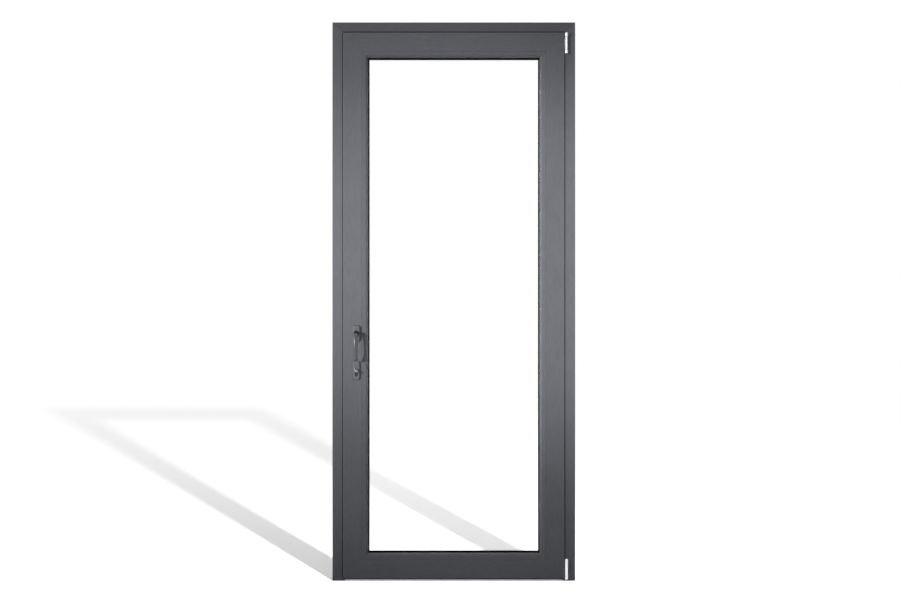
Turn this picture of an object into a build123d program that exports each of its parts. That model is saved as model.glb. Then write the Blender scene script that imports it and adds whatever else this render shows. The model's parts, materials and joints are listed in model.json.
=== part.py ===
from build123d import *
import os
from math import acos, cos, pi, radians, sin, tan

# A full-height PVC casement window with its frame. One glazed sash turns into the room on two
# barrel hinges. A lever drives a rack, a rod and locking cams in the sash, and a lock cylinder
# with a thumb-turn sits below it. The jambs stand on the floor either side of a low threshold.
#
# Millimetres. X runs across the window, Y from the room (minus) to the outside (plus) and Z up.
# The origin is on the floor, in the middle of the frame. A bar's section is drawn with x from
# the bar's outer edge into the window and y the same as the window's Y.

# Overall sizes
FRAME_WIDTH = 1000.0
FRAME_HEIGHT = 2300.0
FRAME_DEPTH = 70.0
SASH_DEPTH = 70.0
SASH_PROUD = 18.5           # sash face in front of the frame face
FRAME_SIGHT = 44.0          # frame seen beside the closed sash
SASH_OVERLAP = 8.0          # sash flange lapping over the frame
REBATE_GAP = 12.0           # hardware space between frame and sash
SASH_FACE = 78.0            # sash bar seen between its edge and the bead
BEAD_HEIGHT = 25.0
SASH_FLOOR_GAP = 13.0       # floor to the lower edge of the sash
SEAL_GAP = 3.0              # space that a gasket closes
SEAL_AIR = 0.3              # what a gasket leaves open to the other body
OVERRUN = 2.0               # extra length of every cut

# Frame bar
FRAME_WALL = 2.8
FRAME_WEB = 1.5
FRAME_EDGE_RADIUS = 2.0
LEG_HEIGHT = 20.0
LEG_SLOPE_WIDTH = 5.0
LEG_SLOPE_DEPTH = 6.0
CLIP_GROOVE_WIDTH = 8.0
CLIP_GROOVE_DEPTH = 4.0
CLIP_GROOVE_SPREAD = 36.0
FRAME_ROOM_CELL = 9.5
FRAME_STEEL_CELL = 32.0
FRAME_MIDDLE_CELL = 8.0
STEEL_WALL = 1.5
STEEL_PLAY = 0.3            # steel tube to the walls of its chamber
FOOT_PAD_HEIGHT = 3.0
FIXING_HOLE = 8.0           # for a 7.5 mm frame screw
FIXING_DEPTH = 26.0         # hole axis behind the frame's room face
FIXING_END = 220.0          # first and last hole from the bar's ends

# Gasket feet and grooves
GROOVE_WIDTH = 3.2
GROOVE_DEPTH = 3.0
GROOVE_WALL = 2.2
FOOT_CLEARANCE = 0.1
FRAME_GASKET_WIDTH = 9.0
FRAME_GROOVE_INSET = 4.0    # leg edge to the groove
SASH_GROOVE_INSET = 3.0
SASH_GASKET_WIDTH = 9.0
SASH_GASKET_LIP = 3.0       # lip seen beyond the sash edge

# Sash bar
SASH_WALL = 3.0
SASH_WEB = 1.5
SASH_EDGE_RADIUS = 4.0
SASH_JOINT_CHAMFER = 0.9    # v-joint between sash and bead
HARDWARE_GROOVE_WIDTH = 16.0
HARDWARE_GROOVE_DEPTH = 6.0
HARDWARE_AXIS = 28.5        # groove axis behind the sash face
SASH_ROOM_CELL = 13.0
SASH_LOCK_CELL = 20.0
SASH_STEEL_CELL = 21.5
BEAD_GROOVE_WIDTH = 4.0
BEAD_GROOVE_DEPTH = 5.0
BEAD_GROOVE_INSET = 3.0     # groove from the bead's glass side
STEEL_END_CLEARANCE = 10.0
WELD_GROOVE = 0.5           # side of the square groove cleaned along a weld

# Glazing
GLASS_LEG_DEPTH = 18.5
GLASS_LEG_SLOPE_WIDTH = 7.0
GLASS_LEG_SLOPE_DEPTH = 5.0
OUTER_GASKET = 4.0
INNER_GASKET = 3.0
PANE = 4.0
CAVITY = 16.0
GLASS_EDGE_GAP = 5.0
SEALANT = 3.0
SPACER_HEIGHT = 7.0
SPACER_WALL = 0.8
GASKET_LIP = 5.0            # glazing gasket seen beyond bead and leg
GASKET_ROUND = 1.4
GLAZING_GASKET_WIDTH = 10.0
PACKER_LENGTH = 100.0
PACKER_SIDE_GAP = 2.0
PACKER_END = 90.0           # packer from the glass corner

# Glazing bead
BEAD_FLAT = 15.0
BEAD_LEAN = 1.5             # bead face runs back towards the glass
BEAD_STEP = 1.5
BEAD_LIP = 4.0              # square edge beside the glass
BEAD_NOSE_SAG = 2.6
BEAD_WALL = 2.2

# Threshold
THRESHOLD_FALL = 9.0
THRESHOLD_FLAT = 43.0
THRESHOLD_WALL = 2.0
THRESHOLD_RIB = 1.6
THRESHOLD_RIB_DEPTH = 0.7
THRESHOLD_RIB_PITCH = 4.0
THRESHOLD_RIBS = 5
THRESHOLD_CELL_WALL = 3.0

# Drip rail
DRIP_HEIGHT = 46.0
DRIP_REACH = 26.0
DRIP_EDGE = 5.0
DRIP_HANG = 5.0             # rail below the rebate edge of the sash
DRIP_GROOVE = 4.0
DRIP_WALL = 2.5
DRIP_SIDE_GAP = 8.0
DRIP_BULGE = 4.0

# Hinges
HINGE_INSET = 37.0          # pin axis from the frame's outer edge
HINGE_PROUD = 12.5          # pin axis in front of the frame face
HINGE_HEIGHT = 84.0
HINGE_EDGE = 1.0            # top hinge below the sash's top edge
HINGE_FLOOR = 8.0
KNUCKLE_RADIUS = 6.5
SLIM_KNUCKLE_RADIUS = 4.8
END_KNUCKLE = 14.0
BEARING_HEIGHT = 13.0
KNUCKLE_GAP = 0.5
HINGE_PIN_RADIUS = 3.0
PIN_CLEARANCE = 0.05
PIN_CAP = 3.0
PIN_RISE = 40.0             # bottom pin above its bearing
LEAF_THICKNESS = 2.1
LEAF_FLOAT = 0.6            # sash leaf in front of the frame face
LEAF_REACH = 20.0           # frame leaf along its rebate
SASH_LEAF_REACH = 32.0      # sash leaf along its rebate edge
SASH_STRAP = 44.0
WEB_OFFSET = 0.5
KNUCKLE_EDGE = 0.8
STRAP_NOTCH_GAP = 1.5

# Screws
SCREW_SHANK = 2.0
SCREW_HEAD = 3.8
SCREW_LENGTH = 22.0
SCREW_PLAY = 0.05

# Locking gear
BACKSET = 35.0
HANDLE_HEIGHT = 1020.0
CYLINDER_DROP = 152.0
FACEPLATE = 2.5
FACEPLATE_END = 130.0       # faceplate from the sash corners
GROOVE_PLAY = 0.2
ROD_WIDTH = 10.0
ROD_THICKNESS = 2.8
ROD_GAP = 0.3
ROD_END = 60.0              # rod shorter than the faceplate at each end
GEAR_MODULE = 1.5
GEAR_TEETH = 16
PRESSURE_ANGLE = 20.0
GEAR_BACKLASH = 0.12
GEAR_ADDENDUM_SHARE = 1.0
GEAR_DEDENDUM_SHARE = 1.25
GEAR_FLANK_SHARES = (0.0, 0.35, 0.7, 1.0)
GEAR_FACE = 6.0
HUB_RADIUS = 8.0
RACK_TEETH_ABOVE = 6
RACK_TEETH_BELOW = 2
CASE_WALL = 1.2
CASE_WIDTH = 44.6
CASE_ABOVE = 42.0
CASE_BELOW = 36.0
CAM_RADIUS = 3.5
CAM_HEAD_RADIUS = 4.6
CAM_HEAD = 2.0
CAM_GAP = 1.0               # cam tip to the striker base
CAM_LOW_SHARES = (0.33, 0.82)     # cams between the sash's lower edge and the lock
CAM_HIGH_SHARES = (0.29, 0.775)   # cams between the lock and the sash's upper edge
CAM_SLOT_PLAY = 1.0
LEVER_SWING = 90.0

# Strikers
STRIKER_BASE = 3.0
STRIKER_LENGTH = 74.0
STRIKER_LIP = 3.4
STRIKER_LIP_RISE = 5.0
STRIKER_LIP_LENGTH = 22.0
STRIKER_CORNER = 3.0
STRIKER_SCREW_END = 9.0

# Lever handle
SPINDLE = 7.0
SPINDLE_GRIP = 26.0         # spindle held inside the lever
ROSETTE_WIDTH = 29.0
ROSETTE_HEIGHT = 64.0
ROSETTE_DEPTH = 11.0
ROSETTE_CORNER = 8.0
ROSETTE_EDGE = 2.0
ROSETTE_WALL = 1.8
ROSETTE_PLAY = 0.1          # base to the walls of its cover
ROSETTE_SCREW_PITCH = 43.0
ROSETTE_BASE_DEPTH = 7.0
BUSH_RADIUS = 11.0
BUSH_HEIGHT = 1.6
NECK_RADIUS = 8.5
NECK_WAIST = 7.2
LEVER_GAP = 0.4             # lever neck to its bush
LEVER_LENGTH = 112.0
LEVER_HEAD_RADIUS = 9.8
LEVER_TIP_RADIUS = 8.2
LEVER_FRONT = 58.0          # lever front from the sash face
LEVER_BOW = 11.0            # middle of the grip in front of its ends
LEVER_THICKNESS = 13.0
LEVER_TIP_THICKNESS = 10.0
LEVER_CROWN = 5.5           # round of the grip's front edge
LEVER_EDGE = 3.0
SPINDLE_HOLE_SHARE = 1.2    # radius of the spindle's way, of its width

# Lock cylinder
CYLINDER_RADIUS = 8.5
CYLINDER_STEM = 10.0
CYLINDER_HEIGHT = 33.0
CYLINDER_PROUD = 3.0        # cylinder beyond each escutcheon
CYLINDER_PLAY = 0.5
PLUG_RADIUS = 6.4
PLUG_PLAY = 0.05
CAM_RING_RADIUS = 7.6
CAM_NOSE = 13.5
CAM_NOSE_WIDTH = 7.0
CAM_WIDTH = 9.6
CAM_SIDE_GAP = 0.3
KEY_SLOT_WIDTH = 2.4
KEY_SLOT_HEIGHT = 8.6
KEY_SLOT_DEPTH = 14.0
FIXING_SCREW_RADIUS = 2.5
FIXING_SCREW_DROP = 20.0
FIXING_SCREW_HEAD = 4.4
TURN_COLLAR_RADIUS = 7.4
TURN_COLLAR = 2.0
TURN_GAP = 0.3
TURN_LENGTH = 22.0
TURN_WIDTH = 6.0
TURN_DEPTH = 13.0
TURN_ANGLE = -45.0
TURN_EDGE = 1.4
ESCUTCHEON_WIDTH = 28.0
ESCUTCHEON_HEIGHT = 78.0
ESCUTCHEON_DEPTH = 8.0
ESCUTCHEON_CORNER = 8.0
ESCUTCHEON_EDGE = 1.6

# Places along Y
FRAME_ROOM = -FRAME_DEPTH / 2
FRAME_OUT = FRAME_DEPTH / 2
SASH_ROOM = FRAME_ROOM - SASH_PROUD
SASH_OUT = SASH_ROOM + SASH_DEPTH
FLANGE_BACK = FRAME_ROOM - SEAL_GAP
LEG_IN = SASH_OUT + SEAL_GAP
HARDWARE_Y = SASH_ROOM + HARDWARE_AXIS
GLASS_LEG_IN = SASH_OUT - GLASS_LEG_DEPTH
OUTER_PANE_OUT = GLASS_LEG_IN - OUTER_GASKET
OUTER_PANE_IN = OUTER_PANE_OUT - PANE
INNER_PANE_OUT = OUTER_PANE_IN - CAVITY
INNER_PANE_IN = INNER_PANE_OUT - PANE
BEAD_BACK = INNER_PANE_IN - INNER_GASKET
HINGE_Y = FRAME_ROOM - HINGE_PROUD
FIXING_Y = FRAME_ROOM + FIXING_DEPTH

# Places along X and Z
HALF_WIDTH = FRAME_WIDTH / 2
FRAME_BOX = FRAME_SIGHT + SASH_OVERLAP
LEG_TOP = FRAME_BOX + LEG_HEIGHT
FLANGE_REACH = SASH_OVERLAP + REBATE_GAP
SASH_WIDTH = SASH_FACE + BEAD_HEIGHT
THRESHOLD_HEIGHT = SASH_FLOOR_GAP + SASH_OVERLAP
SASH_HALF = HALF_WIDTH - FRAME_SIGHT
SASH_TOP = FRAME_HEIGHT - FRAME_SIGHT
GLASS_INSET = SASH_FACE + GLASS_EDGE_GAP
GLASS_HALF = SASH_HALF - GLASS_INSET
GLASS_LOW = SASH_FLOOR_GAP + GLASS_INSET
GLASS_TOP = SASH_TOP - GLASS_INSET
HINGE_X = HALF_WIDTH - HINGE_INSET
REBATE_X = HALF_WIDTH - FRAME_BOX
SASH_REBATE_X = SASH_HALF - FLANGE_REACH
HANDLE_X = BACKSET - SASH_REBATE_X
CYLINDER_Z = HANDLE_HEIGHT - CYLINDER_DROP
PITCH_RADIUS = GEAR_MODULE * GEAR_TEETH / 2
ROD_TRAVEL = PITCH_RADIUS * radians(LEVER_SWING)

# Distances across the lock stile, from the sash edge
GROOVE_FLOOR = FLANGE_REACH + HARDWARE_GROOVE_DEPTH
ROD_FRONT = FLANGE_REACH + FACEPLATE + ROD_GAP
ROD_BACK = ROD_FRONT + ROD_THICKNESS


def from_lock_edge(reach):
    """X of a place that lies this far from the lock-side edge of the sash."""
    return reach - SASH_HALF


def bar_planes(left, right, low, top):
    """Plane and length of each bar of a ring: x into the ring, y outside, z along the bar."""
    return {
        "left": (Plane((left, 0, low), x_dir=(1, 0, 0), z_dir=(0, 0, 1)), top - low),
        "top": (Plane((left, 0, top), x_dir=(0, 0, -1), z_dir=(1, 0, 0)), right - left),
        "right": (Plane((right, 0, top), x_dir=(-1, 0, 0), z_dir=(0, 0, -1)), top - low),
        "bottom": (Plane((right, 0, low), x_dir=(0, 0, 1), z_dir=(-1, 0, 0)), right - left),
    }


def mitred_bar(section, plane, length, start=True, end=True):
    """A bar of this section, cut at 45 degrees at its start, its end or both."""
    far_corner = plane.origin + plane.z_dir * length
    with BuildPart() as bar:
        with BuildSketch(plane):
            add(section)
        extrude(amount=length)
        if start:
            split(bisect_by=Plane(plane.origin, z_dir=plane.z_dir - plane.x_dir), keep=Keep.TOP)
        if end:
            split(bisect_by=Plane(far_corner, z_dir=-plane.z_dir - plane.x_dir), keep=Keep.TOP)
    return bar.part


def welded_bar(section, plane, length, faces, start=True, end=True):
    """A mitred bar with a cleaned weld line across its mitres, on the faces at these depths."""
    mitres = []
    if start:
        mitres.append((plane.origin, plane.x_dir + plane.z_dir))
    if end:
        mitres.append((plane.origin + plane.z_dir * length, plane.x_dir - plane.z_dir))
    with BuildPart() as bar:
        add(mitred_bar(section, plane, length, start, end))
        for corner, diagonal in mitres:
            for y in faces:
                line = Plane((corner.X, y, corner.Z), x_dir=(0, 1, 0), z_dir=diagonal)
                with BuildSketch(line) as groove:
                    Rectangle(WELD_GROOVE, WELD_GROOVE, rotation=45)
                extrude(groove.sketch, amount=2 * SASH_WIDTH, mode=Mode.SUBTRACT)
    return bar.part


def square_bar(section, plane, length, inset):
    """A bar of this section with square ends, shorter than its ring side by the inset."""
    start = Plane(plane.origin + plane.z_dir * inset, x_dir=plane.x_dir, z_dir=plane.z_dir)
    with BuildPart() as bar:
        with BuildSketch(start):
            add(section)
        extrude(amount=length - 2 * inset)
    return bar.part


def room_plane(y):
    """Upright plane at this depth: x across, y up, extruding towards the room."""
    return Plane.XZ.offset(-y)


def cell(low_x, high_x, low_y, high_y, mode=Mode.SUBTRACT):
    """A rectangle between two corners in the sketch at work."""
    with Locations(((low_x + high_x) / 2, (low_y + high_y) / 2)):
        Rectangle(high_x - low_x, high_y - low_y, mode=mode)


def steel_tube(low_x, high_x, low_y, depth):
    """Section of a square tube that fills this chamber, in the sketch at work."""
    for inset, mode in ((STEEL_PLAY, Mode.ADD), (STEEL_PLAY + STEEL_WALL, Mode.SUBTRACT)):
        cell(low_x + inset, high_x - inset, low_y + inset, low_y + depth - inset, mode=mode)


def block(low, high, mode=Mode.ADD):
    """A box between two corners in the part at work."""
    middle = tuple((a + b) / 2 for a, b in zip(low, high))
    with Locations(middle):
        Box(*[b - a for a, b in zip(low, high)], mode=mode)


def nearest_corner(sketch, x, y):
    return sketch.vertices().sort_by_distance((x, y))[0]


def screw(plane, length=SCREW_LENGTH, shank=SCREW_SHANK, head=SCREW_HEAD):
    """Countersunk screw whose head is flush with the plane and whose shank goes along its -z."""
    with BuildPart() as body:
        with BuildSketch(plane):
            Circle(head)
        extrude(amount=-(head - shank), taper=45)
        with BuildSketch(plane):
            Circle(shank)
        extrude(amount=-length)
    return body.part


def screw_hole(plane, length=SCREW_LENGTH, shank=SCREW_SHANK, head=SCREW_HEAD):
    """Cuts the seat and the hole for such a screw in the part at work."""
    add(screw(plane, length, shank + SCREW_PLAY, head + SCREW_PLAY), mode=Mode.SUBTRACT)


# Section of the outer frame bars
frame_room_cell = FRAME_ROOM + FRAME_WALL
frame_steel_cell = frame_room_cell + FRAME_ROOM_CELL + FRAME_WEB
frame_middle_cell = frame_steel_cell + FRAME_STEEL_CELL + FRAME_WEB
frame_outer_cell = frame_middle_cell + FRAME_MIDDLE_CELL + FRAME_WEB
frame_cell_low = CLIP_GROOVE_DEPTH + FRAME_WALL
frame_cell_high = FRAME_BOX - FRAME_WALL
frame_groove_high = LEG_TOP - FRAME_GROOVE_INSET
frame_groove_low = frame_groove_high - GROOVE_WIDTH

with BuildSketch() as frame_outline:
    with BuildLine():
        Polyline(
            (0, FRAME_ROOM),
            (FRAME_BOX, FRAME_ROOM),
            (FRAME_BOX, LEG_IN),
            (LEG_TOP, LEG_IN),
            (LEG_TOP, FRAME_OUT - LEG_SLOPE_DEPTH),
            (LEG_TOP - LEG_SLOPE_WIDTH, FRAME_OUT),
            (0, FRAME_OUT),
            close=True,
        )
    make_face()
    for edge_x in (0, FRAME_BOX):
        fillet(nearest_corner(frame_outline, edge_x, FRAME_ROOM), FRAME_EDGE_RADIUS)
    fillet(nearest_corner(frame_outline, LEG_TOP, FRAME_OUT - LEG_SLOPE_DEPTH), FRAME_EDGE_RADIUS)

with BuildSketch() as frame_section:
    add(frame_outline.sketch)
    with Locations((0, -CLIP_GROOVE_SPREAD / 2), (0, CLIP_GROOVE_SPREAD / 2)):
        Rectangle(2 * CLIP_GROOVE_DEPTH, CLIP_GROOVE_WIDTH, mode=Mode.SUBTRACT)
    cell(frame_groove_low, frame_groove_high, LEG_IN - OVERRUN, LEG_IN + GROOVE_DEPTH)
    cell(frame_cell_low, frame_cell_high, frame_room_cell, frame_room_cell + FRAME_ROOM_CELL)
    cell(frame_cell_low, frame_cell_high, frame_steel_cell, frame_steel_cell + FRAME_STEEL_CELL)
    cell(frame_cell_low, frame_cell_high, frame_middle_cell, frame_middle_cell + FRAME_MIDDLE_CELL)
    cell(frame_cell_low, frame_cell_high, frame_outer_cell, FRAME_OUT - FRAME_WALL)
    cell(
        frame_cell_high + FRAME_WEB,
        LEG_TOP - LEG_SLOPE_WIDTH,
        LEG_IN + GROOVE_DEPTH + GROOVE_WALL,
        FRAME_OUT - FRAME_WALL,
    )

with BuildSketch() as frame_steel_section:
    steel_tube(frame_cell_low, frame_cell_high, frame_steel_cell, FRAME_STEEL_CELL)

with BuildSketch() as frame_gasket_section:
    cell(LEG_TOP - FRAME_GASKET_WIDTH, LEG_TOP, SASH_OUT + SEAL_AIR, LEG_IN, mode=Mode.ADD)
    fillet(frame_gasket_section.vertices().group_by(Axis.Y)[0], SEAL_GAP / 3)
    cell(
        frame_groove_low + FOOT_CLEARANCE,
        frame_groove_high - FOOT_CLEARANCE,
        LEG_IN,
        LEG_IN + GROOVE_DEPTH - FOOT_CLEARANCE,
        mode=Mode.ADD,
    )

# Section of the sash bars
sash_room_cell = SASH_ROOM + SASH_WALL
sash_lock_cell = sash_room_cell + SASH_ROOM_CELL + SASH_WEB
sash_steel_cell = sash_lock_cell + SASH_LOCK_CELL + SASH_WEB
sash_outer_cell = sash_steel_cell + SASH_STEEL_CELL + SASH_WEB
sash_cell_low = FLANGE_REACH + SASH_WALL
sash_cell_high = SASH_FACE - SASH_WALL
bead_groove_high = BEAD_BACK - BEAD_GROOVE_INSET
bead_groove_low = bead_groove_high - BEAD_GROOVE_WIDTH
glass_groove_high = SASH_WIDTH - FRAME_GROOVE_INSET
glass_groove_low = glass_groove_high - GROOVE_WIDTH
hardware_room = HARDWARE_Y - HARDWARE_GROOVE_WIDTH / 2
hardware_out = HARDWARE_Y + HARDWARE_GROOVE_WIDTH / 2

with BuildSketch() as sash_section:
    with BuildLine():
        Polyline(
            (0, SASH_ROOM),
            (SASH_FACE, SASH_ROOM),
            (SASH_FACE, GLASS_LEG_IN),
            (SASH_WIDTH, GLASS_LEG_IN),
            (SASH_WIDTH, SASH_OUT - GLASS_LEG_SLOPE_DEPTH),
            (SASH_WIDTH - GLASS_LEG_SLOPE_WIDTH, SASH_OUT),
            (FLANGE_REACH, SASH_OUT),
            (FLANGE_REACH, FLANGE_BACK),
            (0, FLANGE_BACK),
            close=True,
        )
    make_face()
    fillet(nearest_corner(sash_section, 0, SASH_ROOM), SASH_EDGE_RADIUS)
    fillet(nearest_corner(sash_section, FLANGE_REACH, SASH_OUT), FRAME_EDGE_RADIUS)
    chamfer(nearest_corner(sash_section, SASH_FACE, SASH_ROOM), SASH_JOINT_CHAMFER)
    cell(FLANGE_REACH - OVERRUN, GROOVE_FLOOR, hardware_room, hardware_out)
    cell(
        SASH_GROOVE_INSET,
        SASH_GROOVE_INSET + GROOVE_WIDTH,
        FLANGE_BACK - GROOVE_DEPTH,
        FLANGE_BACK + OVERRUN,
    )
    cell(SASH_FACE - BEAD_GROOVE_DEPTH, SASH_FACE + OVERRUN, bead_groove_low, bead_groove_high)
    cell(glass_groove_low, glass_groove_high, GLASS_LEG_IN - OVERRUN, GLASS_LEG_IN + GROOVE_DEPTH)
    cell(SASH_WALL, FLANGE_REACH, sash_room_cell, FLANGE_BACK - GROOVE_DEPTH - GROOVE_WALL)
    cell(sash_cell_low, sash_cell_high, sash_room_cell, sash_room_cell + SASH_ROOM_CELL)
    cell(
        GROOVE_FLOOR + GROOVE_WALL,
        SASH_FACE - BEAD_GROOVE_DEPTH - GROOVE_WALL,
        sash_lock_cell,
        sash_lock_cell + SASH_LOCK_CELL,
    )
    cell(sash_cell_low, sash_cell_high, sash_steel_cell, sash_steel_cell + SASH_STEEL_CELL)
    cell(sash_cell_low, sash_cell_high, sash_outer_cell, SASH_OUT - SASH_WALL)
    cell(
        SASH_FACE + SASH_WEB,
        SASH_WIDTH - GLASS_LEG_SLOPE_WIDTH,
        GLASS_LEG_IN + GROOVE_DEPTH + GROOVE_WALL,
        SASH_OUT - SASH_WALL,
    )

with BuildSketch() as sash_steel_section:
    steel_tube(sash_cell_low, sash_cell_high, sash_steel_cell, SASH_STEEL_CELL)

with BuildSketch() as sash_gasket_section:
    cell(
        -SASH_GASKET_LIP,
        SASH_GASKET_WIDTH - SASH_GASKET_LIP,
        FLANGE_BACK,
        FRAME_ROOM - SEAL_AIR,
        mode=Mode.ADD,
    )
    fillet(sash_gasket_section.vertices().group_by(Axis.X)[0], SEAL_GAP / 3)
    cell(
        SASH_GROOVE_INSET + FOOT_CLEARANCE,
        SASH_GROOVE_INSET + GROOVE_WIDTH - FOOT_CLEARANCE,
        FLANGE_BACK - GROOVE_DEPTH + FOOT_CLEARANCE,
        FLANGE_BACK,
        mode=Mode.ADD,
    )

# Sections around the glass
glass_gasket_low = SASH_WIDTH + GASKET_LIP - GLAZING_GASKET_WIDTH
with BuildSketch() as outer_glazing_gasket_section:
    cell(
        glass_gasket_low, SASH_WIDTH + GASKET_LIP, OUTER_PANE_OUT, GLASS_LEG_IN, mode=Mode.ADD
    )
    fillet(
        nearest_corner(outer_glazing_gasket_section, SASH_WIDTH + GASKET_LIP, GLASS_LEG_IN),
        GASKET_ROUND,
    )
    cell(
        glass_groove_low + FOOT_CLEARANCE,
        glass_groove_high - FOOT_CLEARANCE,
        GLASS_LEG_IN,
        GLASS_LEG_IN + GROOVE_DEPTH - FOOT_CLEARANCE,
        mode=Mode.ADD,
    )

with BuildSketch() as inner_glazing_gasket_section:
    cell(glass_gasket_low, SASH_WIDTH + GASKET_LIP, BEAD_BACK, INNER_PANE_IN, mode=Mode.ADD)
    fillet(
        nearest_corner(inner_glazing_gasket_section, SASH_WIDTH + GASKET_LIP, BEAD_BACK),
        GASKET_ROUND,
    )

bead_flat_end = SASH_FACE + BEAD_FLAT
bead_step_y = SASH_ROOM + BEAD_LEAN + BEAD_STEP
with BuildSketch() as bead_section:
    with BuildLine():
        Polyline(
            (SASH_WIDTH, BEAD_BACK - BEAD_LIP),
            (SASH_WIDTH, BEAD_BACK),
            (SASH_FACE, BEAD_BACK),
            (SASH_FACE, SASH_ROOM + SASH_JOINT_CHAMFER),
            (SASH_FACE + SASH_JOINT_CHAMFER, SASH_ROOM),
            (bead_flat_end, SASH_ROOM + BEAD_LEAN),
            (bead_flat_end, bead_step_y),
        )
        SagittaArc(
            (bead_flat_end, bead_step_y), (SASH_WIDTH, BEAD_BACK - BEAD_LIP), -BEAD_NOSE_SAG
        )
    make_face()
    cell(
        SASH_FACE - BEAD_GROOVE_DEPTH + FOOT_CLEARANCE,
        SASH_FACE,
        bead_groove_low + FOOT_CLEARANCE,
        bead_groove_high - FOOT_CLEARANCE,
        mode=Mode.ADD,
    )
    cell(
        SASH_FACE + BEAD_WALL,
        bead_flat_end - BEAD_WALL,
        bead_step_y + BEAD_WALL,
        BEAD_BACK - BEAD_WALL,
    )

with BuildSketch() as spacer_section:
    cell(
        GLASS_INSET + SEALANT,
        GLASS_INSET + SEALANT + SPACER_HEIGHT,
        INNER_PANE_OUT,
        OUTER_PANE_IN,
        mode=Mode.ADD,
    )
    cell(
        GLASS_INSET + SEALANT + SPACER_WALL,
        GLASS_INSET + SEALANT + SPACER_HEIGHT - SPACER_WALL,
        INNER_PANE_OUT + SPACER_WALL,
        OUTER_PANE_IN - SPACER_WALL,
    )

with BuildSketch() as sealant_section:
    cell(GLASS_INSET, GLASS_INSET + SEALANT, INNER_PANE_OUT, OUTER_PANE_IN, mode=Mode.ADD)

# Rings that the bars follow
frame_ring = bar_planes(-HALF_WIDTH, HALF_WIDTH, FOOT_PAD_HEIGHT, FRAME_HEIGHT)
sash_ring = bar_planes(-SASH_HALF, SASH_HALF, SASH_FLOOR_GAP, SASH_TOP)
CLOSED_RING = ("left", "top", "right", "bottom")
FRAME_FACES = (FRAME_ROOM, FRAME_OUT)
SASH_FACES = (SASH_ROOM, SASH_OUT)
fixing_span = FRAME_HEIGHT - 2 * FIXING_END
fixing_points = [(FIXING_Y, FIXING_END + i * fixing_span / 3) for i in range(4)]


def fixing_holes(x_start):
    """Holes for the frame screws, through a jamb from its outer face to its rebate."""
    with BuildSketch(Plane.YZ.offset(x_start)) as holes:
        with Locations(*fixing_points):
            Circle(FIXING_HOLE / 2)
    extrude(holes.sketch, amount=FRAME_BOX + 2 * OVERRUN, mode=Mode.SUBTRACT)


def welded_ring(section, ring, sides=CLOSED_RING):
    """One solid that follows the whole ring with mitred corners."""
    with BuildPart() as whole:
        for side in sides:
            plane, length = ring[side]
            add(mitred_bar(section, plane, length))
    return whole.part


# Places of the cams and screws
case_low = CYLINDER_Z - CASE_BELOW
case_high = HANDLE_HEIGHT + CASE_ABOVE
low_cams = [SASH_FLOOR_GAP + share * (case_low - SASH_FLOOR_GAP) for share in CAM_LOW_SHARES]
high_cams = [case_high + share * (SASH_TOP - case_high) for share in CAM_HIGH_SHARES]
cam_heights = low_cams + high_cams
striker_top_x = STRIKER_BASE - REBATE_X
striker_ends = (
    STRIKER_SCREW_END - STRIKER_LENGTH / 2,
    STRIKER_LENGTH / 2 - STRIKER_SCREW_END,
)
striker_screw_planes = [
    Plane((striker_top_x, HARDWARE_Y, height + end), z_dir=(1, 0, 0))
    for height in cam_heights
    for end in striker_ends
]
top_hinge_high = SASH_TOP - HINGE_EDGE
top_hinge_low = top_hinge_high - HINGE_HEIGHT
bottom_knuckle_low = HINGE_FLOOR + BEARING_HEIGHT + KNUCKLE_GAP
bottom_knuckle_high = HINGE_FLOOR + HINGE_HEIGHT
frame_leaf_x = REBATE_X - LEAF_THICKNESS
frame_leaf_y = FRAME_ROOM + LEAF_REACH / 2
bottom_leaf_high = HINGE_FLOOR + HINGE_HEIGHT - END_KNUCKLE
top_leaf_high = FRAME_HEIGHT - FRAME_BOX - STRAP_NOTCH_GAP
frame_hinge_screw_planes = [
    Plane((frame_leaf_x, frame_leaf_y, height), z_dir=(-1, 0, 0))
    for height in (
        top_hinge_low + END_KNUCKLE,
        top_leaf_high - END_KNUCKLE,
        HINGE_FLOOR + 2 * END_KNUCKLE,
        bottom_leaf_high - END_KNUCKLE,
    )
]
top_strap_middle = (top_hinge_low + top_hinge_high) / 2
bottom_strap_middle = (bottom_knuckle_low + bottom_knuckle_high) / 2
strap_middles = (top_strap_middle, bottom_strap_middle)
sash_leaf_x = SASH_REBATE_X + LEAF_THICKNESS
sash_leaf_low_y = FRAME_ROOM - LEAF_FLOAT - LEAF_THICKNESS
sash_leaf_y = sash_leaf_low_y + SASH_LEAF_REACH
sash_hinge_screw_planes = [
    Plane((sash_leaf_x, sash_leaf_y - 2 * SCREW_HEAD, middle + end), z_dir=(1, 0, 0))
    for middle in strap_middles
    for end in (-SASH_STRAP / 4, SASH_STRAP / 4)
]

# Outer frame
with BuildPart() as frame_head:
    add(welded_bar(frame_section.sketch, *frame_ring["top"], FRAME_FACES))

with BuildPart() as frame_jamb_lock_side:
    add(welded_bar(frame_section.sketch, *frame_ring["left"], FRAME_FACES, start=False))
    fixing_holes(-HALF_WIDTH - OVERRUN)
    for plane in striker_screw_planes:
        screw_hole(plane)

with BuildPart() as frame_jamb_hinge_side:
    add(welded_bar(frame_section.sketch, *frame_ring["right"], FRAME_FACES, end=False))
    fixing_holes(REBATE_X - OVERRUN)
    for plane in frame_hinge_screw_planes:
        screw_hole(plane)

frame_steel_inset = FRAME_BOX + STEEL_END_CLEARANCE
head_reinforcement = square_bar(frame_steel_section.sketch, *frame_ring["top"], frame_steel_inset)

with BuildPart() as lock_jamb_reinforcement:
    add(square_bar(frame_steel_section.sketch, *frame_ring["left"], frame_steel_inset))
    fixing_holes(-HALF_WIDTH - OVERRUN)

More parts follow.
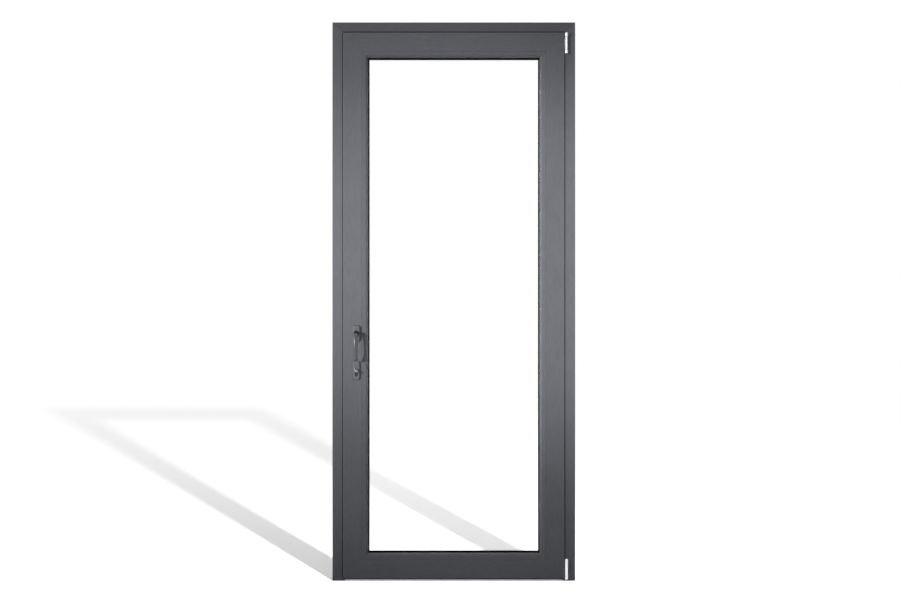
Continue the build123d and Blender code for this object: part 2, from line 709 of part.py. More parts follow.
with BuildPart() as hinge_jamb_reinforcement:
    add(square_bar(frame_steel_section.sketch, *frame_ring["right"], frame_steel_inset))
    fixing_holes(REBATE_X - OVERRUN)

with BuildPart() as jamb_foot_pads:
    for side in (-1, 1):
        foot = Plane((side * HALF_WIDTH, 0, 0), x_dir=(-side, 0, 0), z_dir=(0, 0, -side))
        with BuildSketch(foot):
            add(frame_outline.sketch)
        extrude(amount=-side * FOOT_PAD_HEIGHT)

frame_gasket_low = THRESHOLD_HEIGHT + SEAL_AIR
gasket_ring = bar_planes(-HALF_WIDTH, HALF_WIDTH, frame_gasket_low, FRAME_HEIGHT)
with BuildPart() as frame_gasket:
    add(mitred_bar(frame_gasket_section.sketch, *gasket_ring["left"], start=False))
    add(mitred_bar(frame_gasket_section.sketch, *gasket_ring["top"]))
    add(mitred_bar(frame_gasket_section.sketch, *gasket_ring["right"], end=False))

# Threshold, with its ends cut round the outer legs of the jambs
threshold_slope_start = FRAME_ROOM + THRESHOLD_FLAT
threshold_edge = THRESHOLD_HEIGHT - THRESHOLD_FALL
threshold_plane = Plane((-REBATE_X, 0, 0), x_dir=(0, 1, 0), z_dir=(1, 0, 0))
rib_places = [
    (FRAME_ROOM + THRESHOLD_FLAT / 2 + (i - (THRESHOLD_RIBS - 1) / 2) * THRESHOLD_RIB_PITCH,
     THRESHOLD_HEIGHT)
    for i in range(THRESHOLD_RIBS)
]


def leg_notches():
    for side in (-1, 1):
        low_x, high_x = sorted((side * (HALF_WIDTH - LEG_TOP), side * (REBATE_X + OVERRUN)))
        block(
            (low_x, LEG_IN, -OVERRUN),
            (high_x, FRAME_OUT + OVERRUN, THRESHOLD_HEIGHT + OVERRUN),
            mode=Mode.SUBTRACT,
        )


with BuildSketch(threshold_plane) as threshold_inside:
    with BuildLine():
        Polyline(
            (FRAME_ROOM + THRESHOLD_WALL, 0),
            (FRAME_ROOM + THRESHOLD_WALL, THRESHOLD_HEIGHT - THRESHOLD_WALL),
            (threshold_slope_start, THRESHOLD_HEIGHT - THRESHOLD_WALL),
            (FRAME_OUT - THRESHOLD_WALL, threshold_edge - THRESHOLD_WALL),
            (FRAME_OUT - THRESHOLD_WALL, 0),
            close=True,
        )
    make_face()

with BuildPart() as threshold_cover:
    with BuildSketch(threshold_plane) as cover_profile:
        with BuildLine():
            Polyline(
                (FRAME_ROOM, 0),
                (FRAME_ROOM, THRESHOLD_HEIGHT),
                (threshold_slope_start, THRESHOLD_HEIGHT),
                (FRAME_OUT, threshold_edge),
                (FRAME_OUT, 0),
                close=True,
            )
        make_face()
        fillet(nearest_corner(cover_profile, FRAME_ROOM, THRESHOLD_HEIGHT), THRESHOLD_WALL)
        add(threshold_inside.sketch_local, mode=Mode.SUBTRACT)
        with Locations(*rib_places):
            Rectangle(THRESHOLD_RIB, 2 * THRESHOLD_RIB_DEPTH, mode=Mode.SUBTRACT)
    extrude(amount=2 * REBATE_X)
    leg_notches()

with BuildPart() as threshold_base:
    with BuildSketch(threshold_plane):
        add(threshold_inside.sketch_local)
        cell(
            FRAME_ROOM + THRESHOLD_WALL + THRESHOLD_CELL_WALL,
            threshold_slope_start - THRESHOLD_CELL_WALL,
            THRESHOLD_CELL_WALL,
            THRESHOLD_HEIGHT - THRESHOLD_WALL - THRESHOLD_CELL_WALL,
        )
    extrude(amount=2 * REBATE_X)
    leg_notches()

# Strikers on the lock-side jamb: a base, and a lip that a cam slides behind
with BuildPart() as striker_plates:
    for height in cam_heights:
        block(
            (-REBATE_X, hardware_room, height - STRIKER_LENGTH / 2),
            (striker_top_x, hardware_out, height + STRIKER_LENGTH / 2),
        )
        lip_low = height + CAM_HEAD_RADIUS + CAM_GAP
        block(
            (striker_top_x, hardware_room, lip_low),
            (striker_top_x + STRIKER_LIP_RISE, hardware_room + STRIKER_LIP,
             lip_low + STRIKER_LIP_LENGTH),
        )
    lip_ends = striker_plates.edges().filter_by(Axis.Y).group_by(Axis.X)[-1]
    fillet(lip_ends, STRIKER_CORNER)
    for plane in striker_screw_planes:
        screw_hole(plane)

with BuildPart() as frame_hardware_screws:
    for plane in striker_screw_planes + frame_hinge_screw_planes:
        add(screw(plane))


# Hinges
def knuckle(low, high, radius):
    """Barrel of a hinge about the pin axis."""
    with BuildSketch(Plane((HINGE_X, HINGE_Y, low))) as barrel:
        Circle(radius)
    extrude(barrel.sketch, amount=high - low)


def pin_hole(low, high):
    with BuildSketch(Plane((HINGE_X, HINGE_Y, low))) as bore:
        Circle(HINGE_PIN_RADIUS + PIN_CLEARANCE)
    extrude(bore.sketch, amount=high - low, mode=Mode.SUBTRACT)


def frame_strap(low, high, plate_high):
    """Foot of a frame leaf: from the barrel to the frame face and along it to the rebate."""
    foot_y = FRAME_ROOM - LEAF_THICKNESS
    block(
        (HINGE_X - SLIM_KNUCKLE_RADIUS, HINGE_Y, low), (HINGE_X + SLIM_KNUCKLE_RADIUS, foot_y, high)
    )
    block((frame_leaf_x, foot_y, low), (HINGE_X + SLIM_KNUCKLE_RADIUS, FRAME_ROOM, plate_high))


def frame_rebate_plate(low, high):
    block(
        (frame_leaf_x, FRAME_ROOM, low),
        (REBATE_X, FRAME_ROOM + LEAF_REACH, high),
    )


def sash_strap(middle):
    """Leaf of the sash: from the barrel through the seal gap and round onto the rebate edge."""
    low = middle - SASH_STRAP / 2
    high = middle + SASH_STRAP / 2
    strap_y = FRAME_ROOM - LEAF_FLOAT
    block(
        (HINGE_X - SLIM_KNUCKLE_RADIUS, HINGE_Y, low), (HINGE_X - WEB_OFFSET, strap_y, high)
    )
    block((SASH_REBATE_X, sash_leaf_low_y, low), (HINGE_X - WEB_OFFSET, strap_y, high))
    block((SASH_REBATE_X, sash_leaf_low_y, low), (sash_leaf_x, sash_leaf_y, high))


with BuildPart() as top_hinge_frame_leaf:
    knuckle(top_hinge_low, top_hinge_low + END_KNUCKLE, KNUCKLE_RADIUS)
    knuckle(top_hinge_high - END_KNUCKLE, top_hinge_high, KNUCKLE_RADIUS)
    chamfer(top_hinge_frame_leaf.edges().filter_by(GeomType.CIRCLE), KNUCKLE_EDGE)
    for low in (top_hinge_low, top_hinge_high - END_KNUCKLE):
        high = low + END_KNUCKLE - KNUCKLE_EDGE
        frame_strap(low + KNUCKLE_EDGE, high, high)
    frame_rebate_plate(top_hinge_low + KNUCKLE_EDGE, top_leaf_high)
    pin_hole(top_hinge_low - OVERRUN, top_hinge_high + OVERRUN)
    for plane in frame_hinge_screw_planes[:2]:
        screw_hole(plane)

with BuildPart() as top_hinge_sash_leaf:
    knuckle(
        top_hinge_low + END_KNUCKLE + KNUCKLE_GAP,
        top_hinge_high - END_KNUCKLE - KNUCKLE_GAP,
        SLIM_KNUCKLE_RADIUS,
    )
    sash_strap(top_strap_middle)
    pin_hole(top_hinge_low, top_hinge_high)
    for plane in sash_hinge_screw_planes[:2]:
        screw_hole(plane)

with BuildPart() as top_hinge_pin:
    with BuildSketch(Plane((HINGE_X, HINGE_Y, top_hinge_low))):
        Circle(HINGE_PIN_RADIUS)
    extrude(amount=HINGE_HEIGHT)
    with BuildSketch(Plane((HINGE_X, HINGE_Y, top_hinge_high))):
        Circle(KNUCKLE_RADIUS - KNUCKLE_EDGE)
    extrude(amount=PIN_CAP / 2, taper=45)

with BuildPart() as bottom_hinge_bearing:
    knuckle(HINGE_FLOOR, HINGE_FLOOR + BEARING_HEIGHT, KNUCKLE_RADIUS)
    chamfer(bottom_hinge_bearing.edges().filter_by(GeomType.CIRCLE), KNUCKLE_EDGE)
    frame_strap(
        HINGE_FLOOR + KNUCKLE_EDGE,
        HINGE_FLOOR + BEARING_HEIGHT - KNUCKLE_EDGE,
        bottom_strap_middle - SASH_STRAP / 2 - STRAP_NOTCH_GAP,
    )
    frame_rebate_plate(THRESHOLD_HEIGHT + SEAL_AIR, bottom_leaf_high)
    pin_hole(HINGE_FLOOR + PIN_CAP, bottom_knuckle_low)
    for plane in frame_hinge_screw_planes[2:]:
        screw_hole(plane)

with BuildPart() as bottom_hinge_pin:
    with BuildSketch(Plane((HINGE_X, HINGE_Y, HINGE_FLOOR + PIN_CAP))):
        Circle(HINGE_PIN_RADIUS)
    extrude(amount=BEARING_HEIGHT - PIN_CAP + PIN_RISE)

with BuildPart() as bottom_hinge_sash_leaf:
    knuckle(bottom_knuckle_low, bottom_knuckle_high, KNUCKLE_RADIUS)
    chamfer(bottom_hinge_sash_leaf.edges().filter_by(GeomType.CIRCLE), KNUCKLE_EDGE)
    sash_strap(bottom_strap_middle)
    pin_hole(bottom_knuckle_low - OVERRUN, HINGE_FLOOR + BEARING_HEIGHT + PIN_RISE + KNUCKLE_GAP)
    for plane in sash_hinge_screw_planes[2:]:
        screw_hole(plane)


# Openings for the lock in the lock stile and its steel
def cylinder_profile(play=0.0):
    """Keyhole-shaped section of the lock cylinder in the sketch at work."""
    stem_low = CYLINDER_RADIUS + CYLINDER_STEM / 2 - CYLINDER_HEIGHT
    with Locations((HANDLE_X, CYLINDER_Z)):
        Circle(CYLINDER_RADIUS + play)
    with Locations((HANDLE_X, CYLINDER_Z + stem_low / 2)):
        Rectangle(CYLINDER_STEM + 2 * play, -stem_low)
    with Locations((HANDLE_X, CYLINDER_Z + stem_low)):
        Circle(CYLINDER_STEM / 2 + play)


def cylinder_cut():
    with BuildSketch(room_plane(SASH_OUT + OVERRUN)) as keyhole:
        cylinder_profile(CYLINDER_PLAY)
    extrude(keyhole.sketch, amount=SASH_DEPTH + 2 * OVERRUN, mode=Mode.SUBTRACT)


case_front_x = from_lock_edge(GROOVE_FLOOR)
rosette_screw_places = [
    (HANDLE_X, HANDLE_HEIGHT + side * ROSETTE_SCREW_PITCH / 2) for side in (-1, 1)
]
rosette_screw_planes = [
    Plane((x, SASH_ROOM - ROSETTE_BASE_DEPTH, z), z_dir=(0, -1, 0)) for x, z in rosette_screw_places
]
faceplate_low = SASH_FLOOR_GAP + FACEPLATE_END
faceplate_high = SASH_TOP - FACEPLATE_END
faceplate_x = from_lock_edge(FLANGE_REACH)
faceplate_screw_end = FACEPLATE_END / 8
faceplate_screw_planes = [
    Plane((faceplate_x, HARDWARE_Y, height), z_dir=(-1, 0, 0))
    for height in (faceplate_low + faceplate_screw_end, faceplate_high - faceplate_screw_end)
]
cylinder_screw_plane = Plane(
    (faceplate_x, HARDWARE_Y, CYLINDER_Z - FIXING_SCREW_DROP), z_dir=(-1, 0, 0)
)
cylinder_screw_length = BACKSET + CYLINDER_STEM / 2

with BuildPart() as sash_lock_stile:
    add(welded_bar(sash_section.sketch, *sash_ring["left"], SASH_FACES))
    block(
        (case_front_x - OVERRUN, hardware_room, case_low - GROOVE_PLAY),
        (case_front_x + GROOVE_WALL + OVERRUN, hardware_out, case_high + GROOVE_PLAY),
        mode=Mode.SUBTRACT,
    )
    with BuildSketch(room_plane(sash_lock_cell + OVERRUN)):
        with Locations((HANDLE_X, HANDLE_HEIGHT)):
            Circle(SPINDLE * SPINDLE_HOLE_SHARE)
    extrude(amount=sash_lock_cell - SASH_ROOM + 2 * OVERRUN, mode=Mode.SUBTRACT)
    cylinder_cut()
    for plane in rosette_screw_planes + faceplate_screw_planes:
        screw_hole(plane)

with BuildPart() as sash_hinge_stile:
    add(welded_bar(sash_section.sketch, *sash_ring["right"], SASH_FACES))
    for plane in sash_hinge_screw_planes:
        screw_hole(plane)

with BuildPart() as sash_top_rail:
    add(welded_bar(sash_section.sketch, *sash_ring["top"], SASH_FACES))
    for plane in sash_hinge_screw_planes:
        screw_hole(plane)

with BuildPart() as sash_bottom_rail:
    add(welded_bar(sash_section.sketch, *sash_ring["bottom"], SASH_FACES))
    for plane in sash_hinge_screw_planes:
        screw_hole(plane)

sash_steel_inset = SASH_FACE + STEEL_END_CLEARANCE
with BuildPart() as lock_stile_reinforcement:
    add(square_bar(sash_steel_section.sketch, *sash_ring["left"], sash_steel_inset))
    cylinder_cut()

hinge_stile_reinforcement = square_bar(
    sash_steel_section.sketch, *sash_ring["right"], sash_steel_inset
)
top_rail_reinforcement = square_bar(sash_steel_section.sketch, *sash_ring["top"], sash_steel_inset)
bottom_rail_reinforcement = square_bar(
    sash_steel_section.sketch, *sash_ring["bottom"], sash_steel_inset
)

# Glazing
glazing_beads = {side: mitred_bar(bead_section.sketch, *sash_ring[side]) for side in CLOSED_RING}
glazing_gasket_outer = welded_ring(outer_glazing_gasket_section.sketch, sash_ring)
glazing_gasket_inner = welded_ring(inner_glazing_gasket_section.sketch, sash_ring)
spacer_frame = welded_ring(spacer_section.sketch, sash_ring)
edge_sealant = welded_ring(sealant_section.sketch, sash_ring)

with BuildPart() as sash_gasket:
    add(welded_ring(sash_gasket_section.sketch, sash_ring))
    notch_half = SASH_STRAP / 2 + STRAP_NOTCH_GAP
    notches = [
        (top_hinge_low, top_hinge_high),
        (HINGE_FLOOR, bottom_strap_middle + notch_half),
    ]
    for low, high in notches:
        block(
            (frame_leaf_x - STRAP_NOTCH_GAP, FLANGE_BACK, low - STRAP_NOTCH_GAP),
            (HINGE_X + OVERRUN, FRAME_ROOM, high + STRAP_NOTCH_GAP),
            mode=Mode.SUBTRACT,
        )

with BuildPart() as outer_pane:
    block((-GLASS_HALF, OUTER_PANE_IN, GLASS_LOW), (GLASS_HALF, OUTER_PANE_OUT, GLASS_TOP))

with BuildPart() as inner_pane:
    block((-GLASS_HALF, INNER_PANE_IN, GLASS_LOW), (GLASS_HALF, INNER_PANE_OUT, GLASS_TOP))

with BuildPart() as glazing_packers:
    packer_room = BEAD_BACK + PACKER_SIDE_GAP
    packer_out = GLASS_LEG_IN - PACKER_SIDE_GAP
    for side in (-1, 1):
        middle_x = side * (GLASS_HALF - PACKER_END)
        block(
            (middle_x - PACKER_LENGTH / 2, packer_room, GLASS_LOW - GLASS_EDGE_GAP),
            (middle_x + PACKER_LENGTH / 2, packer_out, GLASS_LOW),
        )
        low_x, high_x = sorted((side * GLASS_HALF, side * (GLASS_HALF + GLASS_EDGE_GAP)))
        for middle_z in (GLASS_LOW + PACKER_END, GLASS_TOP - PACKER_END):
            block(
                (low_x, packer_room, middle_z - PACKER_LENGTH / 2),
                (high_x, packer_out, middle_z + PACKER_LENGTH / 2),
            )

# Drip rail on the outside of the bottom rail
drip_low = SASH_FLOOR_GAP + FLANGE_REACH - DRIP_HANG
drip_half = HALF_WIDTH - LEG_TOP - DRIP_SIDE_GAP
drip_tip = SASH_OUT + DRIP_REACH
with BuildPart() as drip_rail:
    with BuildSketch(Plane((-drip_half, 0, 0), x_dir=(0, 1, 0), z_dir=(1, 0, 0))):
        with BuildLine():
            Polyline(
                (drip_tip, drip_low + DRIP_EDGE),
                (drip_tip, drip_low),
                (drip_tip - DRIP_GROOVE, drip_low),
                (drip_tip - DRIP_GROOVE, drip_low + DRIP_GROOVE),
                (drip_tip - 2 * DRIP_GROOVE, drip_low + DRIP_GROOVE),
                (drip_tip - 2 * DRIP_GROOVE, drip_low),
                (SASH_OUT + DRIP_WALL, drip_low),
                (SASH_OUT, drip_low + DRIP_HANG),
                (SASH_OUT, drip_low + DRIP_HEIGHT),
                (SASH_OUT + DRIP_WALL, drip_low + DRIP_HEIGHT),
            )
            SagittaArc(
                (SASH_OUT + DRIP_WALL, drip_low + DRIP_HEIGHT),
                (drip_tip, drip_low + DRIP_EDGE),
                DRIP_BULGE,
            )
        make_face()
    extrude(amount=2 * drip_half)

# Faceplate, rod and cams
slot_half = CAM_RADIUS + CAM_SLOT_PLAY
cam_tip_x = striker_top_x + CAM_GAP
rod_low = faceplate_low + ROD_END
rod_high = faceplate_high - ROD_END
rod_front_x = from_lock_edge(ROD_FRONT)
rod_back_x = from_lock_edge(ROD_BACK)

with BuildPart() as faceplate:
    block(
        (faceplate_x, hardware_room + GROOVE_PLAY, faceplate_low),
        (faceplate_x + FACEPLATE, hardware_out - GROOVE_PLAY, faceplate_high),
    )
    for height in cam_heights:
        block(
            (faceplate_x - OVERRUN, HARDWARE_Y - slot_half, height - ROD_TRAVEL - slot_half),
            (faceplate_x + FACEPLATE + OVERRUN, HARDWARE_Y + slot_half, height + slot_half),
            mode=Mode.SUBTRACT,
        )
    for plane in faceplate_screw_planes:
        screw_hole(plane)
    screw_hole(
        cylinder_screw_plane, cylinder_screw_length, FIXING_SCREW_RADIUS, FIXING_SCREW_HEAD
    )

addendum = GEAR_MODULE * GEAR_ADDENDUM_SHARE
dedendum = GEAR_MODULE * GEAR_DEDENDUM_SHARE
tooth_pitch = pi * GEAR_MODULE
flank_slope = tan(radians(PRESSURE_ANGLE))
rack_x = HANDLE_X - PITCH_RADIUS
rack_root_x = rack_x - dedendum
rack_tip_x = rack_x + addendum
rack_tooth_half = tooth_pitch / 4 - GEAR_BACKLASH / 2
rack_half = GEAR_FACE / 2
rack_low = HANDLE_HEIGHT - (RACK_TEETH_BELOW + 1) * tooth_pitch
rack_high = HANDLE_HEIGHT + (RACK_TEETH_ABOVE + 1) * tooth_pitch
rack_teeth = range(-RACK_TEETH_BELOW, RACK_TEETH_ABOVE)

with BuildPart() as drive_rod:
    block(
        (rod_front_x, HARDWARE_Y - ROD_WIDTH / 2, rod_low),
        (rod_back_x, HARDWARE_Y + ROD_WIDTH / 2, rod_high),
    )
    block(
        (rod_back_x, HARDWARE_Y - rack_half, rack_low),
        (rack_root_x, HARDWARE_Y + rack_half, rack_high),
    )
    with BuildSketch(room_plane(HARDWARE_Y + rack_half)):
        for tooth in rack_teeth:
            middle = HANDLE_HEIGHT + (tooth + 0.5) * tooth_pitch
            root = rack_tooth_half + dedendum * flank_slope
            tip = rack_tooth_half - addendum * flank_slope
            with BuildLine():
                Polyline(
                    (rack_root_x, middle - root),
                    (rack_tip_x, middle - tip),
                    (rack_tip_x, middle + tip),
                    (rack_root_x, middle + root),
                    close=True,
                )
            make_face()
    extrude(amount=GEAR_FACE)
    screw_slot = FIXING_SCREW_RADIUS + CAM_SLOT_PLAY
    block(
        (rod_front_x - OVERRUN, HARDWARE_Y - screw_slot,
         CYLINDER_Z - FIXING_SCREW_DROP - screw_slot),
        (rod_back_x + OVERRUN, HARDWARE_Y + screw_slot,
         CYLINDER_Z - FIXING_SCREW_DROP + ROD_TRAVEL + screw_slot),
        mode=Mode.SUBTRACT,
    )

with BuildPart() as locking_cams:
    for height in cam_heights:
        tip = Plane((cam_tip_x, HARDWARE_Y, height), z_dir=(1, 0, 0))
        with BuildSketch(tip):
            Circle(CAM_HEAD_RADIUS)
        extrude(amount=CAM_HEAD)
        with BuildSketch(tip):
            Circle(CAM_RADIUS)
        extrude(amount=rod_front_x - cam_tip_x)

with BuildPart() as faceplate_screws:
    for plane in faceplate_screw_planes:
        add(screw(plane))

with BuildPart() as hinge_sash_screws:
    for plane in sash_hinge_screw_planes:
        add(screw(plane))

# Lock case, open towards the rod
case_back_x = case_front_x + CASE_WIDTH
case_room = hardware_room
case_out = hardware_out
with BuildPart() as lock_case:
    block((case_front_x, case_room, case_low), (case_back_x, case_out, case_high))
    block(
        (case_front_x - OVERRUN, case_room + CASE_WALL, case_low + CASE_WALL),
        (case_back_x - CASE_WALL, case_out - CASE_WALL, case_high - CASE_WALL),
        mode=Mode.SUBTRACT,
    )
    with BuildSketch(room_plane(case_out + OVERRUN)):
        cylinder_profile(CYLINDER_PLAY)
        with Locations((HANDLE_X, HANDLE_HEIGHT)):
            Circle(HUB_RADIUS + PIN_CLEARANCE)
    extrude(amount=HARDWARE_GROOVE_WIDTH + 2 * OVERRUN, mode=Mode.SUBTRACT)

# Pinion on the square spindle, with involute flanks
base_radius = PITCH_RADIUS * cos(radians(PRESSURE_ANGLE))
tip_radius = PITCH_RADIUS + addendum
root_radius = PITCH_RADIUS - dedendum
pitch_half_angle = pi / (2 * GEAR_TEETH) - GEAR_BACKLASH / (2 * PITCH_RADIUS)


def involute(radius):
    angle = acos(base_radius / radius)
    return tan(angle) - angle


def tooth_points(middle):
    """Outline of one tooth: root, one flank up, the other flank down, root."""
    flank = [base_radius + share * (tip_radius - base_radius) for share in GEAR_FLANK_SHARES]
    halves = [pitch_half_angle + involute(PITCH_RADIUS) - involute(r) for r in flank]
    rising = [(root_radius, -halves[0])] + [(r, -half) for r, half in zip(flank, halves)]
    falling = [(r, -angle) for r, angle in reversed(rising)]
    return [
        (HANDLE_X + r * cos(middle + angle), HANDLE_HEIGHT + r * sin(middle + angle))
        for r, angle in rising + falling
    ]


gear_points = []
for tooth in range(GEAR_TEETH):
    gear_points += tooth_points(2 * pi * tooth / GEAR_TEETH)

with BuildPart() as drive_pinion:
    with BuildSketch(room_plane(HARDWARE_Y + rack_half)):
        with BuildLine():
            Polyline(*gear_points, close=True)
        make_face()
    extrude(amount=GEAR_FACE)
    with BuildSketch(room_plane(case_out)):
        with Locations((HANDLE_X, HANDLE_HEIGHT)):
            Circle(HUB_RADIUS)
    extrude(amount=HARDWARE_GROOVE_WIDTH)
    with BuildSketch(room_plane(case_out + OVERRUN)):
        with Locations((HANDLE_X, HANDLE_HEIGHT)):
            Rectangle(SPINDLE, SPINDLE)
    extrude(amount=HARDWARE_GROOVE_WIDTH + 2 * OVERRUN, mode=Mode.SUBTRACT)

# Lever handle
rosette_front = SASH_ROOM - ROSETTE_DEPTH
neck_start = rosette_front - BUSH_HEIGHT - LEVER_GAP
lever_front_y = SASH_ROOM - LEVER_FRONT
lever_back_y = lever_front_y + LEVER_THICKNESS
spindle_tip = neck_start - SPINDLE_GRIP
lever_low = HANDLE_HEIGHT - LEVER_LENGTH
lever_high = HANDLE_HEIGHT + LEVER_HEAD_RADIUS


def rounded_plate(width, height, corner, middle_z):
    """Upright rounded rectangle about the handle's line in the sketch at work."""
    with Locations((HANDLE_X, middle_z)):
        RectangleRounded(width, height, corner)


def spindle_bore(half_width):
    with Locations((HANDLE_X, HANDLE_HEIGHT)):
        Circle(half_width, mode=Mode.SUBTRACT)


with BuildPart() as rosette_base:
    with BuildSketch(room_plane(SASH_ROOM)):
        rounded_plate(
            ROSETTE_WIDTH - 2 * (ROSETTE_WALL + ROSETTE_PLAY),
            ROSETTE_HEIGHT - 2 * (ROSETTE_WALL + ROSETTE_PLAY),
            ROSETTE_CORNER - ROSETTE_WALL - ROSETTE_PLAY,
            HANDLE_HEIGHT,
        )
        spindle_bore(SPINDLE * SPINDLE_HOLE_SHARE)
    extrude(amount=ROSETTE_BASE_DEPTH)
    for plane in rosette_screw_planes:
        screw_hole(plane)

with BuildPart() as rosette_cover:
    with BuildSketch(room_plane(SASH_ROOM)):
        rounded_plate(ROSETTE_WIDTH, ROSETTE_HEIGHT, ROSETTE_CORNER, HANDLE_HEIGHT)
    extrude(amount=ROSETTE_DEPTH)
    fillet(rosette_cover.faces().sort_by(Axis.Y)[0].edges(), ROSETTE_EDGE)
    with BuildSketch(room_plane(SASH_ROOM)):
        rounded_plate(
            ROSETTE_WIDTH - 2 * ROSETTE_WALL,
            ROSETTE_HEIGHT - 2 * ROSETTE_WALL,
            ROSETTE_CORNER - ROSETTE_WALL,
            HANDLE_HEIGHT,
        )
    extrude(amount=ROSETTE_DEPTH - ROSETTE_WALL, mode=Mode.SUBTRACT)
    with BuildSketch(room_plane(SASH_ROOM)):
        with Locations((HANDLE_X, HANDLE_HEIGHT)):
            Circle(SPINDLE * SPINDLE_HOLE_SHARE)
    extrude(amount=ROSETTE_DEPTH + OVERRUN, mode=Mode.SUBTRACT)

with BuildPart() as rosette_screws:
    for plane in rosette_screw_planes:
        add(screw(plane))

with BuildPart() as neck_bush:
    with BuildSketch(room_plane(rosette_front)):
        with Locations((HANDLE_X, HANDLE_HEIGHT)):
            Circle(BUSH_RADIUS)
        spindle_bore(SPINDLE * SPINDLE_HOLE_SHARE)
    extrude(amount=BUSH_HEIGHT)

with BuildPart() as handle_spindle:
    with BuildSketch(room_plane(case_out)):
        with Locations((HANDLE_X, HANDLE_HEIGHT)):
            Rectangle(SPINDLE, SPINDLE)
    extrude(amount=case_out - spindle_tip)

with BuildPart() as handle_lever:
    with BuildSketch(Plane.YZ.offset(HANDLE_X - LEVER_HEAD_RADIUS)):
        with BuildLine():
            middle_z = (lever_low + lever_high) / 2
            front = ThreePointArc(
                (lever_front_y + LEVER_BOW, lever_high),
                (lever_front_y, middle_z),
                (lever_front_y + LEVER_BOW, lever_low),
            )
            tip_back = (lever_front_y + LEVER_BOW + LEVER_TIP_THICKNESS, lever_low)
            head_back = (lever_back_y + LEVER_BOW, lever_high)
            Line(front @ 1, tip_back)
            ThreePointArc(tip_back, (lever_back_y, middle_z), head_back)
            Line(head_back, front @ 0)
        make_face()
    extrude(amount=2 * LEVER_HEAD_RADIUS)
    with BuildSketch(room_plane(lever_back_y + LEVER_THICKNESS)):
        with Locations((HANDLE_X, HANDLE_HEIGHT)):
            Circle(LEVER_HEAD_RADIUS)
        with Locations((HANDLE_X, lever_low + LEVER_TIP_RADIUS)):
            Circle(LEVER_TIP_RADIUS)
        make_hull()
    extrude(amount=LEVER_FRONT, mode=Mode.INTERSECT)
    fillet(handle_lever.faces().sort_by(Axis.Y)[0].edges(), LEVER_CROWN)
    fillet(handle_lever.faces().sort_by(Axis.Y)[-1].edges(), LEVER_EDGE)
    with BuildSketch(Plane((HANDLE_X, 0, HANDLE_HEIGHT), x_dir=(1, 0, 0), z_dir=(0, 0, 1))):
        with BuildLine():
            neck_middle = (neck_start + lever_back_y + LEVER_BOW) / 2
            waist = ThreePointArc(
                (NECK_RADIUS, neck_start),
                (NECK_WAIST, neck_middle),
                (NECK_RADIUS, lever_back_y + LEVER_BOW),
            )
            Polyline(
                waist @ 1, (NECK_RADIUS, lever_back_y), (0, lever_back_y), (0, neck_start), waist @ 0
            )
        make_face()
    revolve(axis=Axis((HANDLE_X, 0, HANDLE_HEIGHT), (0, 1, 0)))
    with BuildSketch(room_plane(neck_start)):
        with Locations((HANDLE_X, HANDLE_HEIGHT)):
            Rectangle(SPINDLE, SPINDLE)
    extrude(amount=SPINDLE_GRIP, mode=Mode.SUBTRACT)

# Lock cylinder: two halves joined by a bridge, with a cam turning between them
cylinder_room = SASH_ROOM - ESCUTCHEON_DEPTH - CYLINDER_PROUD
cylinder_out = SASH_OUT + ESCUTCHEON_DEPTH + CYLINDER_PROUD
cam_room = HARDWARE_Y - CAM_WIDTH / 2
cam_out = HARDWARE_Y + CAM_WIDTH / 2
bridge_top = CYLINDER_Z - CAM_NOSE - CAM_SIDE_GAP


def plug_circle(radius, mode=Mode.ADD):
    with Locations((HANDLE_X, CYLINDER_Z)):
        Circle(radius, mode=mode)


with BuildPart() as cylinder_body:
    with BuildSketch(room_plane(cylinder_out)):
        cylinder_profile()
        plug_circle(PLUG_RADIUS + PLUG_PLAY, mode=Mode.SUBTRACT)
    extrude(amount=cylinder_out - cylinder_room)
    block(
        (HANDLE_X - CYLINDER_HEIGHT, cam_room - CAM_SIDE_GAP, bridge_top),
        (HANDLE_X + CYLINDER_HEIGHT, cam_out + CAM_SIDE_GAP, CYLINDER_Z + CYLINDER_HEIGHT),
        mode=Mode.SUBTRACT,
    )
    add(
        screw(
            cylinder_screw_plane,
            cylinder_screw_length,
            FIXING_SCREW_RADIUS + SCREW_PLAY,
            FIXING_SCREW_HEAD,
        ),
        mode=Mode.SUBTRACT,
    )

cylinder_screw = screw(
    cylinder_screw_plane, cylinder_screw_length, FIXING_SCREW_RADIUS, FIXING_SCREW_HEAD
)

with BuildPart() as room_plug:
    with BuildSketch(room_plane(cam_room)):
        plug_circle(PLUG_RADIUS)
    extrude(amount=cam_room - cylinder_room)

with BuildPart() as outside_plug:
    with BuildSketch(room_plane(cylinder_out)):
        plug_circle(PLUG_RADIUS)
    extrude(amount=cylinder_out - cam_out - CAM_SIDE_GAP)
    with BuildSketch(room_plane(cylinder_out + OVERRUN)):
        with Locations((HANDLE_X, CYLINDER_Z)):
            Rectangle(KEY_SLOT_WIDTH, KEY_SLOT_HEIGHT)
    extrude(amount=KEY_SLOT_DEPTH + OVERRUN, mode=Mode.SUBTRACT)

with BuildPart() as cylinder_cam:
    with BuildSketch(room_plane(cam_out)):
        plug_circle(CAM_RING_RADIUS)
        nose_end = CAM_NOSE - CAM_NOSE_WIDTH / 2
        with Locations((HANDLE_X, CYLINDER_Z + nose_end / 2)):
            Rectangle(CAM_NOSE_WIDTH, nose_end)
        with Locations((HANDLE_X, CYLINDER_Z + nose_end)):
            Circle(CAM_NOSE_WIDTH / 2)
    extrude(amount=CAM_WIDTH)

